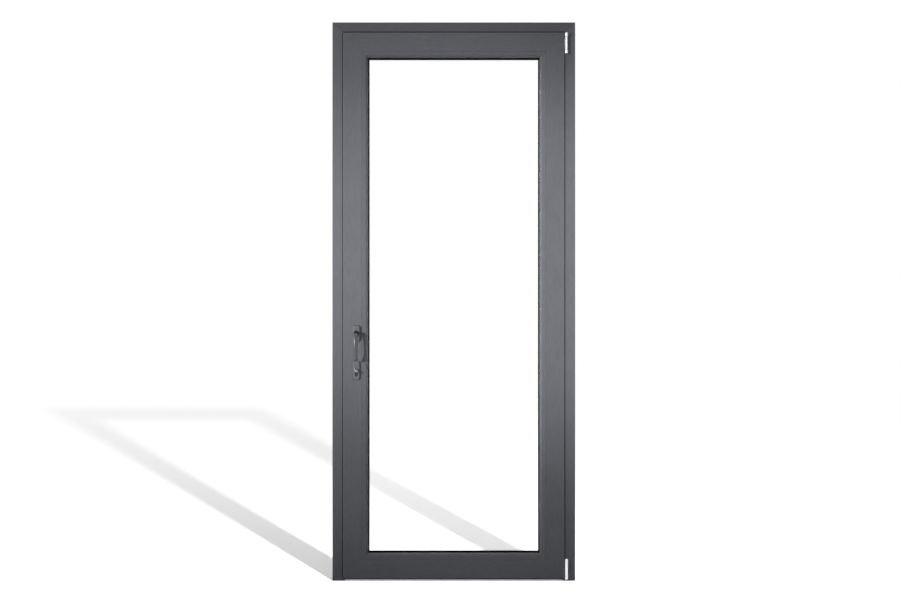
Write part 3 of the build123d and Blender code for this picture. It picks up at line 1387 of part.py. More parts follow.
turn_start = cylinder_room - TURN_GAP
with BuildPart() as thumb_turn:
    with BuildSketch(room_plane(cylinder_room)):
        plug_circle(PLUG_RADIUS)
    extrude(amount=TURN_GAP)
    with BuildSketch(room_plane(turn_start)):
        plug_circle(TURN_COLLAR_RADIUS)
    extrude(amount=TURN_COLLAR)
    with BuildSketch(room_plane(turn_start - TURN_COLLAR)):
        with Locations((HANDLE_X, CYLINDER_Z)):
            SlotOverall(TURN_LENGTH, TURN_WIDTH, rotation=TURN_ANGLE)
    extrude(amount=TURN_DEPTH)
    fillet(thumb_turn.faces().sort_by(Axis.Y)[0].edges(), TURN_EDGE)


def escutcheon(plane, direction):
    """Rounded plate round the cylinder, standing off the sash along the plane's normal."""
    with BuildPart() as plate:
        with BuildSketch(plane):
            rounded_plate(
                ESCUTCHEON_WIDTH, ESCUTCHEON_HEIGHT, ESCUTCHEON_CORNER, CYLINDER_Z
            )
        extrude(amount=direction * ESCUTCHEON_DEPTH)
        outer_face = plate.faces().sort_by(Axis.Y)[0 if direction > 0 else -1]
        fillet(outer_face.edges(), ESCUTCHEON_EDGE)
        with BuildSketch(plane):
            cylinder_profile(CYLINDER_PLAY)
        extrude(amount=direction * (ESCUTCHEON_DEPTH + OVERRUN), mode=Mode.SUBTRACT)
    return plate.part


lock_escutcheon_room = escutcheon(room_plane(SASH_ROOM), 1)
lock_escutcheon_outside = escutcheon(room_plane(SASH_OUT), -1)

# Every piece under the name of its file
pieces = {
    "frame_head": frame_head.part,
    "frame_jamb_lock_side": frame_jamb_lock_side.part,
    "frame_jamb_hinge_side": frame_jamb_hinge_side.part,
    "head_reinforcement": head_reinforcement,
    "lock_jamb_reinforcement": lock_jamb_reinforcement.part,
    "hinge_jamb_reinforcement": hinge_jamb_reinforcement.part,
    "jamb_foot_pads": jamb_foot_pads.part,
    "frame_gasket": frame_gasket.part,
    "threshold_cover": threshold_cover.part,
    "threshold_base": threshold_base.part,
    "striker_plates": striker_plates.part,
    "frame_hardware_screws": frame_hardware_screws.part,
    "top_hinge_frame_leaf": top_hinge_frame_leaf.part,
    "top_hinge_pin": top_hinge_pin.part,
    "bottom_hinge_bearing": bottom_hinge_bearing.part,
    "bottom_hinge_pin": bottom_hinge_pin.part,
    "sash_lock_stile": sash_lock_stile.part,
    "sash_hinge_stile": sash_hinge_stile.part,
    "sash_top_rail": sash_top_rail.part,
    "sash_bottom_rail": sash_bottom_rail.part,
    "lock_stile_reinforcement": lock_stile_reinforcement.part,
    "hinge_stile_reinforcement": hinge_stile_reinforcement,
    "top_rail_reinforcement": top_rail_reinforcement,
    "bottom_rail_reinforcement": bottom_rail_reinforcement,
    "glazing_bead_lock_side": glazing_beads["left"],
    "glazing_bead_hinge_side": glazing_beads["right"],
    "glazing_bead_top": glazing_beads["top"],
    "glazing_bead_bottom": glazing_beads["bottom"],
    "sash_gasket": sash_gasket.part,
    "glazing_gasket_inner": glazing_gasket_inner,
    "glazing_gasket_outer": glazing_gasket_outer,
    "inner_pane": inner_pane.part,
    "outer_pane": outer_pane.part,
    "spacer_frame": spacer_frame,
    "edge_sealant": edge_sealant,
    "glazing_packers": glazing_packers.part,
    "drip_rail": drip_rail.part,
    "top_hinge_sash_leaf": top_hinge_sash_leaf.part,
    "bottom_hinge_sash_leaf": bottom_hinge_sash_leaf.part,
    "hinge_sash_screws": hinge_sash_screws.part,
    "faceplate": faceplate.part,
    "faceplate_screws": faceplate_screws.part,
    "lock_case": lock_case.part,
    "drive_rod": drive_rod.part,
    "locking_cams": locking_cams.part,
    "drive_pinion": drive_pinion.part,
    "handle_spindle": handle_spindle.part,
    "handle_lever": handle_lever.part,
    "neck_bush": neck_bush.part,
    "rosette_base": rosette_base.part,
    "rosette_cover": rosette_cover.part,
    "rosette_screws": rosette_screws.part,
    "cylinder_body": cylinder_body.part,
    "cylinder_screw": cylinder_screw,
    "room_plug": room_plug.part,
    "outside_plug": outside_plug.part,
    "cylinder_cam": cylinder_cam.part,
    "thumb_turn": thumb_turn.part,
    "lock_escutcheon_room": lock_escutcheon_room,
    "lock_escutcheon_outside": lock_escutcheon_outside,
}

os.makedirs("parts", exist_ok=True)
for name, piece in pieces.items():
    piece.label = name
    export_step(piece, f"parts/{name}.step")
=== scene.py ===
import json
import math

import bmesh
import bpy
from bpy.props import FloatProperty, FloatVectorProperty, PointerProperty
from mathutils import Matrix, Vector

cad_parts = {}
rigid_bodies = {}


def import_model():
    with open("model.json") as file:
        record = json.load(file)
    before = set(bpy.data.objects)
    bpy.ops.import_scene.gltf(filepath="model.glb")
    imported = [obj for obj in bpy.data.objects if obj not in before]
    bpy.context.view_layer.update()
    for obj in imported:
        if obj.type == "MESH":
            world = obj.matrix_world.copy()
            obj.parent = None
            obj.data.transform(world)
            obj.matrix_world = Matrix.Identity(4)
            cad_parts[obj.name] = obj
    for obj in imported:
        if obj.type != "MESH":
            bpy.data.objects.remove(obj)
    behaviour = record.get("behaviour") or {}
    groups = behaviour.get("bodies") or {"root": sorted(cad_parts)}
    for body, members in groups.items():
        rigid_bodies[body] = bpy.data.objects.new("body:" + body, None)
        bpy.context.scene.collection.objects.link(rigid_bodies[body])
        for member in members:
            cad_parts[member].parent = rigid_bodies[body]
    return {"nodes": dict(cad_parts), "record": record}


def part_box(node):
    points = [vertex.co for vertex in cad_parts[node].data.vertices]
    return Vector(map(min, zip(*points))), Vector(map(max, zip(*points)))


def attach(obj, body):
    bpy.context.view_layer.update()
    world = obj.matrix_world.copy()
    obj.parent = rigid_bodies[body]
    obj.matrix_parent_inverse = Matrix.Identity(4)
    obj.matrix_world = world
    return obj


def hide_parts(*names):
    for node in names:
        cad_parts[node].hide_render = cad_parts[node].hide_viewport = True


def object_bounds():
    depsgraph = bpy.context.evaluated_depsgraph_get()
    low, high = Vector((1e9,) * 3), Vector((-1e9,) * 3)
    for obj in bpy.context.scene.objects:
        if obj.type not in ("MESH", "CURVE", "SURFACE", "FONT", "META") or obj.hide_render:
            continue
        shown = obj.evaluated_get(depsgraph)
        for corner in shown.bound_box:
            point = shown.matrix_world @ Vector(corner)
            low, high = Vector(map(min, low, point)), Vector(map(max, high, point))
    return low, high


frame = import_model()
cad_low, cad_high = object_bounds()

bl_info = {
    "name": "Foiled PVC casement",
    "version": (1, 0, 0),
    "blender": (4, 5, 0),
    "location": "3D View > Sidebar > Casement",
    "description": "Finishes a full height casement and models its handle set and screws",
    "category": "Object",
}

MM = 0.001
# Places that are nearer than this count as one
CLOSE = 0.01 * MM
# Corners that are nearer than this are doubles
FINE = 0.001 * MM
# Edges that fold by more than this are sharp
SHARP = math.radians(50)


def linear(hex_colour):
    """Give an sRGB hex colour as linear red, green and blue."""
    channels = []
    for start in (0, 2, 4):
        value = int(hex_colour[start:start + 2], 16) / 255
        low = value <= 0.04045
        channels.append(value / 12.92 if low else ((value + 0.055) / 1.055) ** 2.4)
    return tuple(channels)


def add_node(tree, kind, inputs=None, **settings):
    """Add a node, set its fields, then set or link each input that is named."""
    node = tree.nodes.new(kind)
    for field, value in settings.items():
        setattr(node, field, value)
    for name, value in (inputs or {}).items():
        if isinstance(value, bpy.types.NodeSocket):
            tree.links.new(value, node.inputs[name])
        else:
            node.inputs[name].default_value = value
    return node


def start_finish(name, **sockets):
    """Start a material on one Principled shader and set the values that are even all over."""
    finish = bpy.data.materials.new(name)
    finish.use_nodes = True
    tree = finish.node_tree
    shader = tree.nodes["Principled BSDF"]
    for socket, value in sockets.items():
        shader.inputs[socket.replace("_", " ")].default_value = value
    return finish, tree, shader


def pattern_space(tree, size):
    """Object coordinates counted in pattern sizes, given in metres along each axis."""
    place = add_node(tree, "ShaderNodeTexCoord")
    scale = tuple(1 / length for length in size)
    mapping = add_node(tree, "ShaderNodeMapping", {"Vector": place.outputs["Object"], "Scale": scale})
    return mapping.outputs["Vector"]


def vary(tree, shader, pattern, colour, spread, rough, depth):
    """Let one pattern shade the colour, the roughness and the height of a finish a little."""
    dark = tuple(c * (1 - spread) for c in colour)
    light = tuple(min(1, c * (1 + spread)) for c in colour)
    # The middle of a noise is stretched over the whole range
    middle = {"Value": pattern, "From Min": 0.3, "From Max": 0.7}
    shade = add_node(tree, "ShaderNodeMapRange", middle)
    tone = add_node(tree, "ShaderNodeMixRGB",
                    {"Fac": shade.outputs["Result"], "Color1": (*dark, 1), "Color2": (*light, 1)})
    gloss = add_node(tree, "ShaderNodeMapRange", {**middle, "To Min": rough[0], "To Max": rough[1]})
    bump = add_node(tree, "ShaderNodeBump", {"Height": pattern, "Distance": depth, "Strength": 0.4})
    tree.links.new(tone.outputs["Color"], shader.inputs["Base Color"])
    tree.links.new(gloss.outputs["Result"], shader.inputs["Roughness"])
    tree.links.new(bump.outputs["Normal"], shader.inputs["Normal"])
    return tone.outputs["Color"]


def grained(name, colour, size, detail, spread, rough, depth, **sockets):
    """Make a finish that one noise varies, its sizes given in metres along each axis."""
    finish, tree, shader = start_finish(name, **sockets)
    grain = add_node(tree, "ShaderNodeTexNoise",
                     {"Vector": pattern_space(tree, size), "Scale": 1, "Detail": detail})
    vary(tree, shader, grain.outputs["Fac"], colour, spread, rough, depth)
    return finish


# Foiled PVC: an extruded grey bar with an embossed anthracite film, matt, with a fine grain along each bar
def foiled_pvc(name, along, bare, painted_light_lift):
    finishes = bpy.context.scene.casement_finishes
    finish, tree, shader = start_finish(name, Specular_IOR_Level=0.2, IOR=1.5)
    # The film's pores are about 0.3 mm wide, drawn ten times as coarse so that they show
    pore_width = 3.2 * MM
    pore_length = 30 * MM
    size = [pore_width] * 3
    size["XYZ".index(along)] = pore_length
    grain = add_node(tree, "ShaderNodeTexNoise",
                     {"Vector": pattern_space(tree, size), "Scale": 1, "Detail": 3, "Roughness": 0.6})
    # The film's print drifts in tone over a hand's width
    hand = 90 * MM
    cloud = add_node(tree, "ShaderNodeTexNoise",
                     {"Vector": pattern_space(tree, [hand] * 3), "Scale": 1, "Detail": 2})
    both = add_node(tree, "ShaderNodeMixRGB",
                    {"Fac": 0.25, "Color1": grain.outputs["Fac"], "Color2": cloud.outputs["Fac"]})
    # Painted light: the factor lightens or darkens this copy of the foil to stand for light or shade on its
    # bars
    foil = [c * painted_light_lift for c in finishes.foil]
    tone = vary(tree, shader, both.outputs["Color"], foil, spread=0.13, rough=(0.54, 0.66),
                depth=0.06 * MM)
    if bare:
        # The film stops in the rebates, where the dyed core is smooth and darker
        place = add_node(tree, "ShaderNodeTexCoord")
        axes = add_node(tree, "ShaderNodeSeparateXYZ", {"Vector": place.outputs["Object"]})
        depth = axes.outputs["Y"]
        behind = add_node(tree, "ShaderNodeMath", {0: depth, 1: bare[0]}, operation="GREATER_THAN")
        before = add_node(tree, "ShaderNodeMath", {0: depth, 1: bare[1]}, operation="LESS_THAN")
        inside = add_node(tree, "ShaderNodeMath", {0: behind.outputs[0], 1: before.outputs[0]},
                          operation="MULTIPLY")
        core = add_node(tree, "ShaderNodeMixRGB",
                        {"Fac": inside.outputs[0], "Color1": tone, "Color2": (*finishes.core, 1)})
        tree.links.new(core.outputs["Color"], shader.inputs["Base Color"])
    return finish


# EPDM rubber: extruded and cured, dull black with a grey bloom
def epdm_rubber():
    finishes = bpy.context.scene.casement_finishes
    # The bloom lies in patches about a finger's width across
    return grained("epdm_rubber", finishes.rubber, size=[14 * MM] * 3, detail=4, spread=0.25,
                   rough=(0.56, 0.68), depth=0.05 * MM, Specular_IOR_Level=0)


# Float glass: two clear panes coated against glare, flat but for the faint wave that drawing leaves
def float_glass():
    finish, tree, shader = start_finish("float_glass", Base_Color=(1, 1, 1, 1), Roughness=0, IOR=1.45,
                                        Specular_IOR_Level=0.05, Transmission_Weight=1)
    wave = add_node(tree, "ShaderNodeTexNoise",
                    {"Vector": pattern_space(tree, (300 * MM, 300 * MM, 120 * MM)), "Scale": 1, "Detail": 0})
    bump = add_node(tree, "ShaderNodeBump",
                    {"Height": wave.outputs["Fac"], "Distance": 0.02 * MM, "Strength": 0.1})
    tree.links.new(bump.outputs["Normal"], shader.inputs["Normal"])
    # Light passes to the floor as through the real panes, without caustics
    path = add_node(tree, "ShaderNodeLightPath")
    clear = add_node(tree, "ShaderNodeBsdfTransparent")
    mixed = add_node(tree, "ShaderNodeMixShader", {"Fac": path.outputs["Is Shadow Ray"],
                                                   1: shader.outputs["BSDF"], 2: clear.outputs["BSDF"]})
    tree.links.new(mixed.outputs["Shader"], tree.nodes["Material Output"].inputs["Surface"])
    return finish


# Drawn aluminium: a mill finish with fine die lines along the bar, coloured a dark grey, and soft
def mill_aluminium():
    finishes = bpy.context.scene.casement_finishes
    # Die lines are about 0.1 mm apart, drawn at 1.2 mm so that they show
    return grained("mill_aluminium", finishes.aluminium, size=(260 * MM, 1.2 * MM, 1.2 * MM), detail=3,
                   spread=0.08, rough=(0.28, 0.42), depth=0.03 * MM, Metallic=1)


# Hot dipped galvanised steel: grey crystals of zinc, each with its own sheen
def galvanised_steel():
    finishes = bpy.context.scene.casement_finishes
    finish, tree, shader = start_finish("galvanised_steel", Metallic=1)
    spangle = add_node(tree, "ShaderNodeTexVoronoi",
                       {"Vector": pattern_space(tree, [9 * MM] * 3), "Scale": 1})
    vary(tree, shader, spangle.outputs["Color"], finishes.zinc, spread=0.14, rough=(0.38, 0.52),
         depth=0.01 * MM)
    return finish


# Zinc plate, passivated: bright and a little blue, with rubbed streaks along its strips
def zinc_plate():
    finishes = bpy.context.scene.casement_finishes
    return grained("zinc_plate", finishes.zinc, size=(2 * MM, 2 * MM, 22 * MM), detail=4,
                   spread=0.1, rough=(0.22, 0.4), depth=0.02 * MM, Metallic=1)


# Silver lacquer on cast zinc: pale and satin, with a faint flake
def silver_lacquer():
    finishes = bpy.context.scene.casement_finishes
    # The flakes are about 0.05 mm wide, drawn at 0.9 mm so that they show
    return grained("silver_lacquer", finishes.hinge, size=[0.9 * MM] * 3, detail=2,
                   spread=0.05, rough=(0.32, 0.44), depth=0.02 * MM, Metallic=0.75)


# Powder coat on die cast zinc: anthracite and satin, with the slight orange peel of melted powder
def powder_coat(name, painted_light_lift):
    finishes = bpy.context.scene.casement_finishes
    # Painted light: the factor lightens or darkens each copy of the coat to stand for light or shade on its
    # pieces
    shade = [c * painted_light_lift for c in finishes.handle]
    return grained(name, shade, size=[1.1 * MM] * 3, detail=2, spread=0.05, rough=(0.25, 0.34),
                   depth=0.03 * MM, Specular_IOR_Level=0.6, IOR=1.5)


# Nickel on turned brass, given a dark grey metal colour, the rings of the lathe dulled by plating
def nickel_brass():
    finishes = bpy.context.scene.casement_finishes
    # The rings are about 0.1 mm apart, drawn at 0.8 mm so that they show
    return grained("nickel_brass", finishes.nickel, size=(3 * MM, 0.8 * MM, 3 * MM), detail=3,
                   spread=0.07, rough=(0.2, 0.34), depth=0.02 * MM, Metallic=1)


# Glass filled polyamide: moulded black, dull, with short fibres just under the skin
def polyamide():
    finishes = bpy.context.scene.casement_finishes
    # The fibres are about 0.3 mm long, drawn at 5 mm so that they show
    return grained("glass_filled_polyamide", finishes.plastic, size=(5 * MM, 1.5 * MM, 1.5 * MM), detail=3,
                   spread=0.2, rough=(0.5, 0.66), depth=0.03 * MM, Specular_IOR_Level=0.2)


def coat(piece, finish):
    """Give a piece one finish all over."""
    piece.data.materials.clear()
    piece.data.materials.append(finish)


def coat_slot(slot, finish):
    """Give every CAD node of one record slot the same finish."""
    for row in frame["record"]["subparts"]:
        if row["material_slot"] == slot:
            coat(frame["nodes"][row["node"]], finish)


def start_piece(primitive, name, **settings):
    """Add a primitive on its own, put its place into its mesh, and open it for editing."""
    bpy.ops.object.select_all(action="DESELECT")
    primitive(**settings)
    piece = bpy.context.object
    piece.name = name
    bpy.ops.object.transform_apply(location=True, rotation=True, scale=True)
    bpy.ops.object.mode_set(mode="EDIT")
    return piece


def start_disc(name, radius, place, vertices=48):
    """Start a piece from a round blank that faces the room."""
    return start_piece(bpy.ops.mesh.primitive_circle_add, name, vertices=vertices, radius=radius,
                       fill_type="NGON", location=place, rotation=(math.pi / 2, 0, 0))


def start_sheet(name, wide, tall, place):
    """Start a piece from a flat rectangle that faces the room."""
    piece = start_piece(bpy.ops.mesh.primitive_plane_add, name, size=1, location=place,
                        rotation=(math.pi / 2, 0, 0))
    bpy.ops.transform.resize(value=(wide, 1, tall), center_override=place)
    return piece


def pick(piece, kind, test):
    """Select just the VERT, EDGE or FACE elements that pass a test."""
    bpy.ops.mesh.select_mode(type=kind)
    bpy.ops.mesh.select_all(action="DESELECT")
    mesh = bmesh.from_edit_mesh(piece.data)
    lists = {"VERT": mesh.verts, "EDGE": mesh.edges, "FACE": mesh.faces}
    for element in lists[kind]:
        if test(element):
            element.select_set(True)
    mesh.select_flush_mode()
    bmesh.update_edit_mesh(piece.data)


def push(vector):
    """Extrude what is selected along a vector."""
    bpy.ops.mesh.extrude_region_move(TRANSFORM_OT_translate={"value": vector})


def close_piece():
    """Leave edit mode with doubles merged and the faces turned outwards."""
    bpy.ops.mesh.select_mode(type="VERT")
    bpy.ops.mesh.select_all(action="SELECT")
    bpy.ops.mesh.remove_doubles(threshold=2 * FINE)
    bpy.ops.mesh.normals_make_consistent(inside=False)
    bpy.ops.object.mode_set(mode="OBJECT")


def make_active(piece):
    """Select one piece and nothing else."""
    bpy.ops.object.select_all(action="DESELECT")
    piece.select_set(True)
    bpy.context.view_layer.objects.active = piece


def apply_modifier(piece, kind, **settings):
    """Add one modifier, set it and apply it."""
    make_active(piece)
    modifier = piece.modifiers.new(kind.lower(), kind)
    for field, value in settings.items():
        setattr(modifier, field, value)
    bpy.ops.object.modifier_apply(modifier=modifier.name)


def combine(piece, tool, operation, **settings):
    """Cut a piece with a tool, or join the two into one skin, and drop the tool."""
    apply_modifier(piece, "BOOLEAN", object=tool, operation=operation, solver="EXACT", **settings)
    bpy.data.objects.remove(tool)


def join_pieces(pieces, name):
    """Make several pieces one, with their places in its mesh."""
    bpy.ops.object.select_all(action="DESELECT")
    for piece in pieces:
        piece.select_set(True)
    bpy.context.view_layer.objects.active = pieces[0]
    bpy.ops.object.transform_apply(location=True, rotation=True, scale=True)
    if len(pieces) > 1:
        bpy.ops.object.join()
    pieces[0].name = name
    return pieces[0]


def finish_piece(piece, finish, body, slot, *nodes, angle=35):
    """Smooth a piece, coat it, and let it stand for its CAD nodes."""
    make_active(piece)
    bpy.ops.object.shade_smooth_by_angle(angle=math.radians(angle))
    coat(piece, finish)
    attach(piece, body)
    if nodes:
        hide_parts(*nodes)


class CasementFinishes(bpy.types.PropertyGroup):
    """Colours of the window's materials."""

    foil: FloatVectorProperty(name="Foil", description="Anthracite film on the profiles",
                              subtype="COLOR", min=0, max=1, default=linear("626469"))
    core: FloatVectorProperty(name="Core", description="Dyed PVC under the film",
                              subtype="COLOR", min=0, max=1, default=linear("45454a"))
    rubber: FloatVectorProperty(name="Rubber", description="Seals of the frame, leaf and glass",
                                subtype="COLOR", min=0, max=1, default=linear("141415"))
    aluminium: FloatVectorProperty(name="Aluminium", description="Cover of the threshold",
                                   subtype="COLOR", min=0, max=1, default=linear("737577"))
    zinc: FloatVectorProperty(name="Zinc", description="Plated and galvanised steel",
                              subtype="COLOR", min=0, max=1, default=linear("b9bec4"))
    hinge: FloatVectorProperty(name="Hinges", description="Silver lacquer of the hinges",
                               subtype="COLOR", min=0, max=1, default=linear("e2e3e4"))
    handle: FloatVectorProperty(name="Handle set", description="Powder coat of the handle set",
                                subtype="COLOR", min=0, max=1, default=linear("5a5c61"))
    nickel: FloatVectorProperty(name="Nickel", description="Dark plate on the lock cylinder",
                                subtype="COLOR", min=0, max=1, default=linear("3a3a3b"))
    plastic: FloatVectorProperty(name="Plastic", description="Moulded black parts",
                                 subtype="COLOR", min=0, max=1, default=linear("161618"))


class CasementSizes(bpy.types.PropertyGroup):
    """Sizes of the pieces that are modelled over the CAD."""

    head_radius: FloatProperty(name="Lever head", description="Radius of the lever's round head",
                               unit="LENGTH", default=9.8 * MM)
    tip_radius: FloatProperty(name="Lever tip", description="Radius of the lever's round tip",
                              unit="LENGTH", default=8.2 * MM)
    head_drop: FloatProperty(name="Head drop", description="How far the head's top lies under the CAD's",
                             unit="LENGTH", default=8.4 * MM)
    lever_bow: FloatProperty(name="Lever bow", description="How far the grip bows into the room",
                             unit="LENGTH", default=11 * MM)
    lever_thick: FloatProperty(name="Lever thickness", description="Front to back of the grip",
                               unit="LENGTH", default=13 * MM)
    tip_thin: FloatProperty(name="Tip thinning", description="How much thinner the tip is",
                            unit="LENGTH", default=3 * MM)
    tip_back: FloatProperty(name="Tip back", description="How far the tip lies behind the head",
                            unit="LENGTH", default=10 * MM)
    neck_radius: FloatProperty(name="Neck", description="Radius of the lever's neck in the bush",
                               unit="LENGTH", default=8.5 * MM)
    stem_radius: FloatProperty(name="Stem", description="Radius of the stem inside the collar",
                               unit="LENGTH", default=4 * MM)
    collar_radius: FloatProperty(name="Collar", description="Radius of the black collar round the neck",
                                 unit="LENGTH", default=9.8 * MM)
    # The black rim round each plate is painted shade: it stands for the contact shade there
    shade_underlay_rim: FloatProperty(name="Underlay rim", description="Black base shown round each plate",
                                unit="LENGTH", default=1.2 * MM)
    plate_corner: FloatProperty(name="Plate corner", description="Corner radius of rosette and escutcheons",
                                unit="LENGTH", default=8 * MM)
    turn_length: FloatProperty(name="Thumb turn length", description="End to end of the thumb turn's grip",
                               unit="LENGTH", default=22 * MM)
    turn_thick: FloatProperty(name="Thumb turn thickness", description="Thickness of the grip at its ends",
                              unit="LENGTH", default=6 * MM)
    turn_collar: FloatProperty(name="Thumb turn collar", description="Radius of the thumb turn's collar",
                               unit="LENGTH", default=7.4 * MM)
    # The seal's lips are partly painted shade: black sheets drawn deeper above and below than the seal all
    # round
    seal_and_shade_lip: FloatProperty(name="Seal lip", description="Seal shown by the leaf and the glass",
                            unit="LENGTH", default=5.5 * MM)
    screw_head: FloatProperty(name="Screw head", description="Radius of a countersunk head",
                              unit="LENGTH", default=3.8 * MM)
    screw_shank: FloatProperty(name="Screw shank", description="Radius of a screw's shank",
                               unit="LENGTH", default=2 * MM)


class CasementStudio(bpy.types.PropertyGroup):
    """Light and camera of the studio."""

    key_power: FloatProperty(name="Key", description="Power of the spot from the left",
                             subtype="POWER", default=4900)
    fill_power: FloatProperty(name="Fill", description="Power of the weak spot from the right",
                              subtype="POWER", default=1290)
    shadow_power: FloatProperty(name="Shadow lamp", description="Power of the lamp that shades the floor",
                                subtype="POWER", default=130)
    shadow_reach: FloatProperty(name="Shadow reach", description="Distance at which half the shadow is left",
                                unit="LENGTH", default=2.6)
    ambient: FloatProperty(name="Ambient", description="Strength of the world's light on the object",
                           subtype="FACTOR", min=0, max=1, default=0.25)
    back_power: FloatProperty(name="Back", description="Power of the soft light behind the window",
                              subtype="POWER", default=160)
    top_power: FloatProperty(name="Top", description="Power of the small soft light above",
                             subtype="POWER", default=10)
    wash_power: FloatProperty(name="Floor wash", description="Strength of the even light on the floor",
                              default=0.9)
    floor_radius: FloatProperty(name="Floor", description="Radius of the paper floor",
                                unit="LENGTH", default=14)
    lens: FloatProperty(name="Lens", description="Focal length in millimetres", unit="CAMERA",
                        default=72.8)


class CASEMENT_OT_profiles(bpy.types.Operator):
    """Foil the frame, leaf, beads and drip rail, with the grain along each bar"""

    bl_idname = "casement.profiles"
    bl_label = "Foil the profiles"

    def execute(self, context):
        # The film goes this far into the rebates from the room and from outside
        frame_film = (4 * MM, 11 * MM)
        leaf_film = (16 * MM, 5 * MM)
        low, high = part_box("frame_head")
        frame_bare = (low.y + frame_film[0], high.y - frame_film[1])
        low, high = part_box("sash_top_rail")
        leaf_bare = (low.y + leaf_film[0], high.y - leaf_film[1])
        # Each group: the way its grain runs, the depths without film, the factor that paints light or shade
        # into its tone, and its bars. The jambs' film is painted lighter, and the head's darker as painted
        # shade where the light falls off towards the top
        groups = {
            "frame_upright_foil_painted_light": ("Z", frame_bare, 1.06, ("frame_jamb_lock_side", "frame_jamb_hinge_side")),
            "frame_level_foil_painted_shade": ("X", frame_bare, 0.88, ("frame_head",)),
            "leaf_upright_foil": ("Z", leaf_bare, 1, ("sash_lock_stile", "sash_hinge_stile")),
            "leaf_level_foil": ("X", leaf_bare, 1, ("sash_top_rail", "sash_bottom_rail")),
            "bead_upright_foil": ("Z", None, 1, ("glazing_bead_lock_side", "glazing_bead_hinge_side")),
            "bead_level_foil": ("X", None, 1, ("glazing_bead_top", "glazing_bead_bottom", "drip_rail")),
        }
        for name, (along, bare, painted_light_lift, nodes) in groups.items():
            finish = foiled_pvc(name, along, bare, painted_light_lift)
            for node in nodes:
                coat(frame["nodes"][node], finish)
        return {"FINISHED"}


class CASEMENT_OT_glazing(bpy.types.Operator):
    """Finish the panes, the rubber seals and the threshold cover"""

    bl_idname = "casement.glazing"
    bl_label = "Finish the glazing and seals"

    def execute(self, context):
        coat_slot("clear_glass", float_glass())
        coat_slot("black_rubber", epdm_rubber())
        coat_slot("mill_aluminium", mill_aluminium())
        return {"FINISHED"}


class CASEMENT_OT_seal_lips(bpy.types.Operator):
    """Model black seal lips above and below the leaf and the glass, whose dark lines are partly the seal and
    partly painted shade in the gaps there
    """

    bl_idname = "casement.seal_lips"
    bl_label = "Model the seal lips"

    def execute(self, context):
        reach = context.scene.casement_sizes.seal_and_shade_lip
        leaf_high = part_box("sash_top_rail")[1]
        seal_overlap = 3 * MM
        seal_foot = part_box("sash_gasket")[0].z + seal_overlap
        glass_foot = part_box("glazing_bead_bottom")[1].z
        glass_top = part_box("glazing_bead_top")[0].z
        leaf_half = leaf_high.x
        glass_half = -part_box("glazing_bead_lock_side")[1].x
        frame_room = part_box("frame_head")[0].y
        pane_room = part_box("inner_pane")[0].y
        stand_off = 0.4 * MM
        thick = 2 * MM
        soft_edge = 0.9 * MM
        lips = []
        # Each lip: its root, its reach up or down, half its length and the face it lies on. The lips reach
        # further by the glass, where the black line they paint is the seal and the shade of the rebate
        # together
        for root, tall, half, face in ((leaf_high.z, reach, leaf_half, frame_room),
                                       (seal_foot, -reach, leaf_half, frame_room),
                                       (glass_foot, 1.5 * reach, glass_half, pane_room),
                                       (glass_top, -1.3 * reach, glass_half, pane_room)):
            lip = start_sheet("seal_and_shade_lip", 2 * half, 2 * abs(tall), (0, face - stand_off, root))
            push((0, -thick, 0))
            pick(lip, "EDGE", lambda e: all(abs(v.co.z - root - tall) < CLOSE for v in e.verts)
                 and abs(e.verts[0].co.x - e.verts[1].co.x) > reach)
            bpy.ops.mesh.bevel(offset=soft_edge, segments=4, affect="EDGES")
            close_piece()
            lips.append(lip)
        seal = join_pieces(lips, "seal_lips")
        finish_piece(seal, bpy.data.materials["epdm_rubber"], "sash", "black_rubber")
        return {"FINISHED"}


class CASEMENT_OT_fittings(bpy.types.Operator):
    """Finish the hinges, locking gear, lock, steel and plastic parts"""

    bl_idname = "casement.fittings"
    bl_label = "Finish the fittings"

    def execute(self, context):
        coat_slot("galvanised_steel", galvanised_steel())
        coat_slot("zinc_hardware", zinc_plate())
        coat_slot("silver_hinge", silver_lacquer())
        # Painted light in the coat: the plates' coat is lightened to make up for the fill lamp they are kept
        # out of, the grip's is darkened as painted shade for its bowed lower half, and the thumb turn's is
        # brightened as a painted highlight on its ridge
        coat_slot("coated_handle", powder_coat("powder_coat", 1.1))
        powder_coat("powder_coat_grip_painted_shade", 0.54)
        powder_coat("powder_coat_turn_painted_highlight", 3)
        coat_slot("nickel_brass", nickel_brass())
        coat_slot("black_plastic", polyamide())
        # The spacer between the panes is of the dark kind, so the glass has a black edge
        coat(frame["nodes"]["spacer_frame"], bpy.data.materials["glass_filled_polyamide"])
        return {"FINISHED"}


